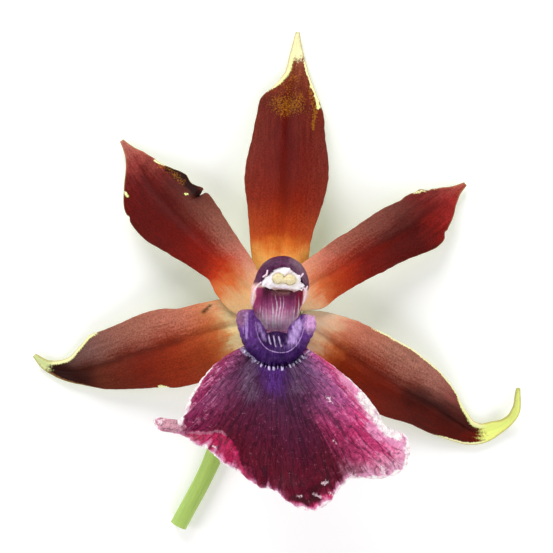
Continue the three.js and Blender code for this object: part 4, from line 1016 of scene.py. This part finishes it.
def column():
    pitch = 0.115
    low = (-5.8, -7.6, -1.2)
    p = lattice(low, (6.2, 11.0, 15.2), pitch)

    def body_section(u, side, rise):
        wide = profile(COLUMN_WIDE, u)
        deep = np.where(rise < 0, profile(COLUMN_FACE, u), profile(COLUMN_BACK, u))
        power = np.where(rise < 0, 2 / 0.55, 2.0)
        return (np.sqrt((side / wide) ** 2 + np.abs(rise / deep) ** power) - 1) * np.minimum(wide, deep)

    def foot_section(u, side, rise):
        wide = FOOT_REACH[0] * (1 - 0.25 * u)
        return (np.hypot(side / wide, rise / FOOT_REACH[1]) - 1) * FOOT_REACH[1]

    shifted = p - [COLUMN_MIDDLE, 0, 0]
    body = bar(shifted, COLUMN_AXIS, (0, 1, 0), body_section)
    body = merge(body, bar(p, FOOT_AXIS, (0, 0, 1), foot_section), 0.5)
    open_way = np.array([0, math.sin(HOOD_RIM["tilt"]), math.cos(HOOD_RIM["tilt"])])
    above = (p - np.array(HOOD_RIM["point"])) @ open_way
    hood = carve(ball(p, HOOD["middle"], HOOD["reach"]), -above, 0.5)
    body = merge(body, hood, 0.5)
    reach = np.array(ANTHER["reach"])
    body = carve(body, ball(cap_places(p), (0, 0, 0), reach + 0.1), 0.2)
    body = carve(body, ball(cap_places(p), (0, 0, MOUTH_RISE), reach + 0.3), 0.2)
    aside, under, _ = trough(p)
    body = carve(body, -merge(-aside, -under, 0.4), 0.3)
    for line in WINGS:
        cell = np.rint((np.array(line) - low[:2]) / pitch).astype(int)
        top = [low[2] + pitch * np.max(np.nonzero(body[i, j] < 0)[0], initial=0) for i, j in cell]
        thread = np.c_[np.array(line), np.array(top) + 0.04]
        body = merge(body, bar(p, thread, (0, 0, 1), wire(WING_RADIUS), 24), 0.15)

    def stripes(points):
        across = points[..., 0] + 0.24 * ripple(points * [0.6, 0.4, 0.4], 3, 51)
        return np.cos(2 * np.pi * across / STRIPES_APART)

    facing = smooth(under, 0.6, 0.2) * smooth(aside, 0.0, -0.4) * smooth(p[..., 1], 3.6, 2.2)
    body = body - STRIPE_RISE * stripes(p) * facing + 0.02 * ripple(p, 2.2, 52)
    points, quads = skin(body, low, pitch)
    points = relaxed(points, quads, 2)

    aside, under, half = trough(points)
    wings = np.max([near(points, line, 0.17) for line in WINGS], axis=0)
    patchy = smooth(ripple(points * [1.5, 0.4, 0.4], 3.2, 53), -1.0, 0.8)
    values = {
        "spot": points, "rise": points[:, 1], "high": points[:, 2], "side": 1 + aside / half,
        "rightward": smooth(points[:, 0], -1, 1),
        "facing": smooth(aside, 0.25, 0.0) * smooth(under - smooth(points[:, 1], -1.8, -2.8), 0.6, 0.3)
        * smooth(points[:, 1], 5.0, 4.6),
        "wing": wings * smooth(points[:, 2], 8.0, 8.6), "line": smooth(stripes(points), 0.2, 0.95) * patchy,
        "hood": smooth(points[:, 2], 8.4, 10.0) * smooth(points[:, 1] + 0.1 * points[:, 0], 4.5, 5.4),
        # painted shadow, brownish, under the anther cap
        "stain": near(points, [(-0.6, 4.3), (1.4, 4.1)], 0.8, 0.2),
        # painted sheen, grey-violet, on the hood's upper right
        "gloss": near(points, [(2.8, 8.9), (4.2, 6.8)], 1.5),
    }
    piece("column_body", points, quads, values, column_paint(), "column")


def column_paint():
    p = Paint("column_skin")
    spot = p.mesh("spot", "Vector")
    stripe = p.grit(p.stretched(spot, 2.6, 0.16, 0.16), 1, 3, 0.6)
    hair = p.grit(p.stretched(spot, 6, 0.25, 0.25), 1)
    mottle = p.grit(spot, 1.8, 3, 0.6)
    back = p.mix(p.step(p.sum("high", (mottle, 2.0)), 2, 11), (92, 76, 52), (90, 72, 68))
    front = p.ramp(p.step(p.sum("rise", (stripe, 0.8), -0.4), -3.2, 4.8), [
        (0, 74, 46, 64), (10, 100, 76, 93), (24, 100, 76, 89), (45, 82, 52, 68), (64, 63, 31, 49),
        (82, 50, 18, 35), (100, 26, 6, 14),
    ])
    red = p.times(p.step(p.sum("side", (stripe, 0.12), -0.06), 0.62, 0.95), p.step("rise", -0.5, 1.5))
    front = p.mix(p.times(red, 0.7), front, p.mix("rightward", (72, 26, 46), (56, 8, 18)))
    pale = p.step(p.sum("line", (stripe, 0.5), (hair, 0.35), ("rise", -0.12)), 0.45, 1.25)
    shown = p.times(p.step(p.sum("rise", ("side", 1.0)), 4.6, 1.6), p.step("rise", -2.4, -1.2))
    front = p.mix(p.times(pale, shown), front, (100, 94, 98))
    # painted shadow under the anther cap
    front = p.over(front, (56, 38, 36), 0.2, 1.0, "stain", (mottle, 0.4), -0.2, share=0.6)
    dome = p.mix(p.step(p.sum(mottle, ("high", 0.06)), 0.9, 1.5), (27, 8, 23), (33, 13, 28))
    # painted sheen on the hood's upper right
    dome = p.over(dome, (50, 38, 44), 0, 1.3, "gloss", (mottle, 0.3), -0.15, share=0.6)
    tone = p.mix("hood", p.over(back, (34, 18, 34), -0.4, -1.4, "rise"), dome)
    tone = p.over(p.mix("facing", tone, front), (95, 84, 90), 0.35, 0.75, "wing")
    tone = p.shaded(tone, (mottle, 0.86, 1.14))
    height = p.sum((stripe, 0.6), (mottle, 0.5), (hair, 0.3))
    return p.finish(tone, p.sum(0.34, (mottle, 0.12)), height, 0.05, 0.10, (1.0, 0.4, 0.5), 0.14)


def anther_cap():
    pitch = 0.09
    low = (-4.6, 3.0, 9.8)
    p = lattice(low, (5.8, 9.6, 14.2), pitch)
    reach = ANTHER["reach"]
    x, y, z = np.moveaxis(cap_places(p), -1, 0)
    turn = np.arctan2(y / reach[1], x / reach[0])
    ragged = 0.08 * np.sin(9 * turn + 0.5) + 0.06 * np.sin(17 * turn + 2) + 0.04 * np.sin(26 * turn)
    lower = y < 0
    power = np.where(lower, 3.2, 2.0)
    tall = np.where(lower, 1.7, 2.2)
    round_it = ((np.abs(x) / reach[0]) ** power + (np.abs(y) / tall) ** power) ** (1 / power)
    plate = (np.hypot(round_it, z / CAP_HALF) - 1) * CAP_HALF - ragged * smooth(y, -0.4, 1.2)
    left, right = ball(p, (-0.25, 6.1, 12.2), (1.6, 1.4, 0.95)), ball(p, (1.85, 5.9, 12.2), (1.55, 1.4, 0.95))
    lobes = merge(left, right, 0.25)
    crown = ball(p, (0.85, 7.3, 12.3), (1.55, 1.0, 0.8))
    body = merge(merge(plate, lobes, 0.3), crown, 0.3)
    body = body + 0.09 * ripple(p, 1.5, 61) + 0.04 * ripple(p, 0.7, 62)
    for spot in POLLINIA:
        body = carve(body, ball(p, spot, np.array(POLLINIUM) + PIT_GAP), 0.08)
    body = carve(body, ball(p, POLLEN_STALK["middle"], np.array(POLLEN_STALK["reach"]) + PIT_GAP), 0.08)
    points, quads = skin(body, low, pitch)
    points = relaxed(points, quads, 1)
    lobe = marks(points, [([(-0.2, 6.2), (0.2, 6.0)], 1.1), ([(1.7, 6.0), (2.2, 5.8)], 1.1)])
    # painted shade, brownish, along the cap's lower edge on all but its left end
    low_edge = smooth(points[:, 1] + ANTHER_SLANT * points[:, 0], 5.3, 4.4) * smooth(points[:, 0], -2.2, -0.6)
    values = {"spot": points, "lobe": lobe, "low": low_edge}
    piece("anther_cap_body", points, quads, values, anther_paint(), "anther_cap")


def anther_paint():
    p = Paint("anther_skin")
    mottle = p.grit(p.mesh("spot", "Vector"), 1.8, 3, 0.6)
    tone = p.over((99, 95, 97), (92, 87, 71), 0.3, 1.0, "lobe", (mottle, 0.3), -0.15)
    # painted shade along the lower edge
    tone = p.over(tone, (72, 56, 52), 0.4, 1.1, "low", (mottle, 0.3), -0.15)
    tone = p.shaded(tone, (mottle, 0.90, 1.06))
    return p.finish(tone, p.sum(0.42, (mottle, 0.12)), mottle, 0.06, 0.2, (1.0, 0.8, 0.6))


def pollinarium():
    pitch = 0.07
    low = (-2.0, 4.8, 11.9)
    p = lattice(low, (2.8, 7.4, 14.2), pitch)
    body = ball(p, POLLEN_STALK["middle"], POLLEN_STALK["reach"])
    for spot in POLLINIA:
        mass = ball(p, spot, POLLINIUM)
        cleft = ball(p, np.array(spot) + [0.1, 0.25, 0.75], (0.8, 0.10, 0.22))
        body = merge(body, carve(mass, cleft, 0.12), 0.15)
    body = body + 0.03 * ripple(p, 0.8, 71)
    points, quads = skin(body, low, pitch)
    points = relaxed(points, quads, 1)
    p = Paint("pollen_skin")
    mottle = p.grit(p.mesh("spot", "Vector"), 2.6, 3, 0.6)
    tone = p.mix(mottle, (93, 88, 73), (88, 81, 60))
    material = p.finish(tone, p.sum(0.34, (mottle, 0.1)), mottle, 0.03, 0.2, (1.0, 0.8, 0.4))
    piece("pollinarium_body", points, quads, {"spot": points}, material, "pollinarium")


# ---- ovary and stalk

STALK_LINE = [
    (0, 0, -0.9), (0, -0.1, -2.6), (-0.6, -1.5, -5), (-2.2, -4.8, -6.9), (-4.6, -9.4, -7.25),
    (-8.4, -17.4, -7.75), (-12.6, -27.6, -7.95), (-17.6, -37, -7.9),
]
STALK_RADIUS = [
    (0, 3.7), (0.05, 2.9), (0.15, 2.6), (0.3, 2.45), (0.45, 2.2), (0.6, 1.75), (0.8, 1.5), (1, 1.5),
]
STALK_SIDE = (0.9, -0.42, 0)
RIB_COUNT = 6
OVARY_RIBS = [(0, 0.04), (0.1, 0.1), (0.4, 0.1), (0.6, 0.03), (1, 0)]


def ovary_and_stalk():
    rings, around = 190, 60
    u = np.r_[np.zeros(5), np.linspace(0, 1, rings), np.ones(6)]
    shrink = np.r_[0.05, 0.3, 0.6, 0.85, 0.96, np.ones(rings), 0.97, 0.90, 0.7, 0.45, 0.22, 0.05]
    dent = np.r_[0.1, 0.1, 0.08, 0.04, 0.0, np.zeros(rings), -0.04, 0.02, 0.10, 0.14, 0.10, 0.12]
    middle, ahead, length = along_curve(STALK_LINE, u)
    side_hint = np.array(STALK_SIDE)
    rise = unit(side_hint - ahead * (ahead @ side_hint)[:, None])
    side = np.cross(ahead, rise)
    middle = middle - ahead * dent[:, None]
    angle = np.arange(around) / around * 2 * np.pi
    uu, aa = u[:, None], angle[None, :]
    flow = np.stack([uu * length + 0 * aa, np.cos(aa) * 6 + 0 * uu, np.sin(aa) * 6 + 0 * uu], -1)
    radius = profile(STALK_RADIUS, uu) * (1 + profile(OVARY_RIBS, uu) * np.cos(RIB_COUNT * aa))
    radius = radius * (1 + 0.012 * ripple(flow, 7, 81) + 0.006 * np.cos(3 * RIB_COUNT * aa)) * shrink[:, None]
    points = middle[:, None] + side[:, None] * (radius * np.cos(aa))[..., None] \
        + rise[:, None] * (radius * np.sin(aa))[..., None]
    index = np.arange(points.shape[0] * around).reshape(-1, around)
    index = np.c_[index, index[:, 0]]
    quads = net(index)[:, ::-1]
    last = points.shape[0] * around
    flat = np.vstack([points.reshape(-1, 3), middle[0], middle[-1]])
    ring = np.arange(around)
    beside = np.roll(ring, -1)
    between_ribs = 0.5 - 0.5 * np.cos(RIB_COUNT * aa)
    triangles = np.vstack([
        np.c_[ring, beside, np.full(around, last)],
        np.c_[last - around + beside, last - around + ring, np.full(around, last + 1)],
    ])
    values = {
        "along": np.r_[(uu + 0 * aa).ravel(), 0.0, 1.0],
        "groove": np.r_[(profile(OVARY_RIBS, uu) * 10 * between_ribs).ravel(), 0.0, 0.0],
        "cut": np.r_[(((u == 1) & (shrink < 1))[:, None] * (1 - shrink[:, None]) + 0 * aa).ravel(), 0.0, 1.0],
        "flow": np.vstack([flow.reshape(-1, 3), [[1, 1, 0], [1, 1, 0]]]),
    }
    piece("ovary_and_stalk_body", flat, quads, values, stalk_paint(), "ovary_and_stalk", triangles)


def stalk_paint():
    p = Paint("stalk_skin")
    flow = p.mesh("flow", "Vector")
    streak = p.noise(p.stretched(flow, 0.12, 1, 1), 1, 3)
    mottle = p.noise(flow, 1.6, 3, 0.6)
    tone = p.ramp(p.sum("along", (streak, 0.3), -0.15), [
        (0, 62, 66, 34), (30, 50, 60, 24), (60, 60, 72, 32), (100, 68, 80, 40),
    ])
    tone = p.mix(p.times("groove", 0.35), tone, (34, 42, 16))
    tone = p.shaded(tone, (streak, 0.82, 1.18), (mottle, 0.90, 1.10))
    fibre = p.mix(p.step(mottle, 0.4, 0.6), (86, 88, 62), (60, 62, 36))
    tone = p.over(tone, fibre, 0.02, 0.08, "cut")
    height = p.sum((streak, 0.8), (mottle, 0.5))
    return p.finish(tone, p.sum(0.36, (mottle, 0.14)), height, 0.06, 0.12, (0.7, 1.0, 0.3))


# ---- the flower

for number, (tepal_name, tepal_form) in enumerate(TEPALS.items()):
    tepal(tepal_name, tepal_form, 100 + 10 * number)
lip_surface = lip_blade()
callus(lip_surface)
column()
anther_cap()
pollinarium()
ovary_and_stalk()


# ---- floor, light and camera

FLOOR_HALF = 0.8                        # this and the lights' places are in metres, as the frame is
SOFTBOX_SIZE = 0.4
LIGHT_AIM = (0, 0, 0.01)
SOFTBOXES = [
    ("window", (-0.12, 0.45, 0.30), 2.2), ("right", (0.45, 0.05, 0.30), 1.0),
    ("left", (-0.45, -0.05, 0.30), 1.0), ("front", (0.05, -0.45, 0.35), 1.3),
]
SKY_STRENGTH = 0.24
LENS = 101.48                           # the camera's lens and sensor, in its millimetres
SENSOR = 36
CAMERA_PLACE = (0.13 * MM, 0.615 * MM, 274.5 * MM)


def floor():
    mesh = bpy.data.meshes.new("floor")
    corners = [(-1, -1), (1, -1), (1, 1), (-1, 1)]
    mesh.from_pydata([(x * FLOOR_HALF, y * FLOOR_HALF, 0) for x, y in corners], [], [(0, 1, 2, 3)])
    p = Paint("floor_paint")
    soft = p.noise(p.node("ShaderNodeTexCoord", {}, "Object"), 6)
    tone = p.mix(soft, (98.5, 98.5, 98.5), (99.5, 99.5, 99.5))
    surface = p.node("ShaderNodeBsdfPrincipled", {
        "Base Color": tone, "Roughness": 0.8, "Emission Color": tone, "Emission Strength": 0.12,
    })
    p.node("ShaderNodeOutputMaterial", {"Surface": surface})
    mesh.materials.append(p.material)
    made = bpy.data.objects.new("floor", mesh)
    bpy.context.scene.collection.objects.link(made)


def softbox(name, where, power):
    light = bpy.data.lights.new(name, "AREA")
    light.shape = "DISK"
    light.size = SOFTBOX_SIZE
    light.energy = power
    made = bpy.data.objects.new(name, light)
    made.location = where
    made.rotation_euler = (Vector(LIGHT_AIM) - Vector(where)).to_track_quat("-Z", "Y").to_euler()
    bpy.context.scene.collection.objects.link(made)


def sky(strength):
    world = bpy.data.worlds.new("sky")
    world.use_nodes = True
    world.node_tree.nodes["Background"].inputs["Color"].default_value = (1, 1, 1, 1)
    world.node_tree.nodes["Background"].inputs["Strength"].default_value = strength
    bpy.context.scene.world = world


floor()
sky(SKY_STRENGTH)
for box_name, box_place, box_power in SOFTBOXES:
    softbox(box_name, box_place, box_power)
bpy.context.scene.view_settings.view_transform = "Standard"

camera_data = bpy.data.cameras.new("camera")
camera_data.lens = LENS
camera_data.sensor_width = SENSOR
camera_data.clip_start = 0.01
camera = bpy.data.objects.new("camera", camera_data)
camera.location = CAMERA_PLACE
bpy.context.scene.collection.objects.link(camera)
bpy.context.scene.camera = camera
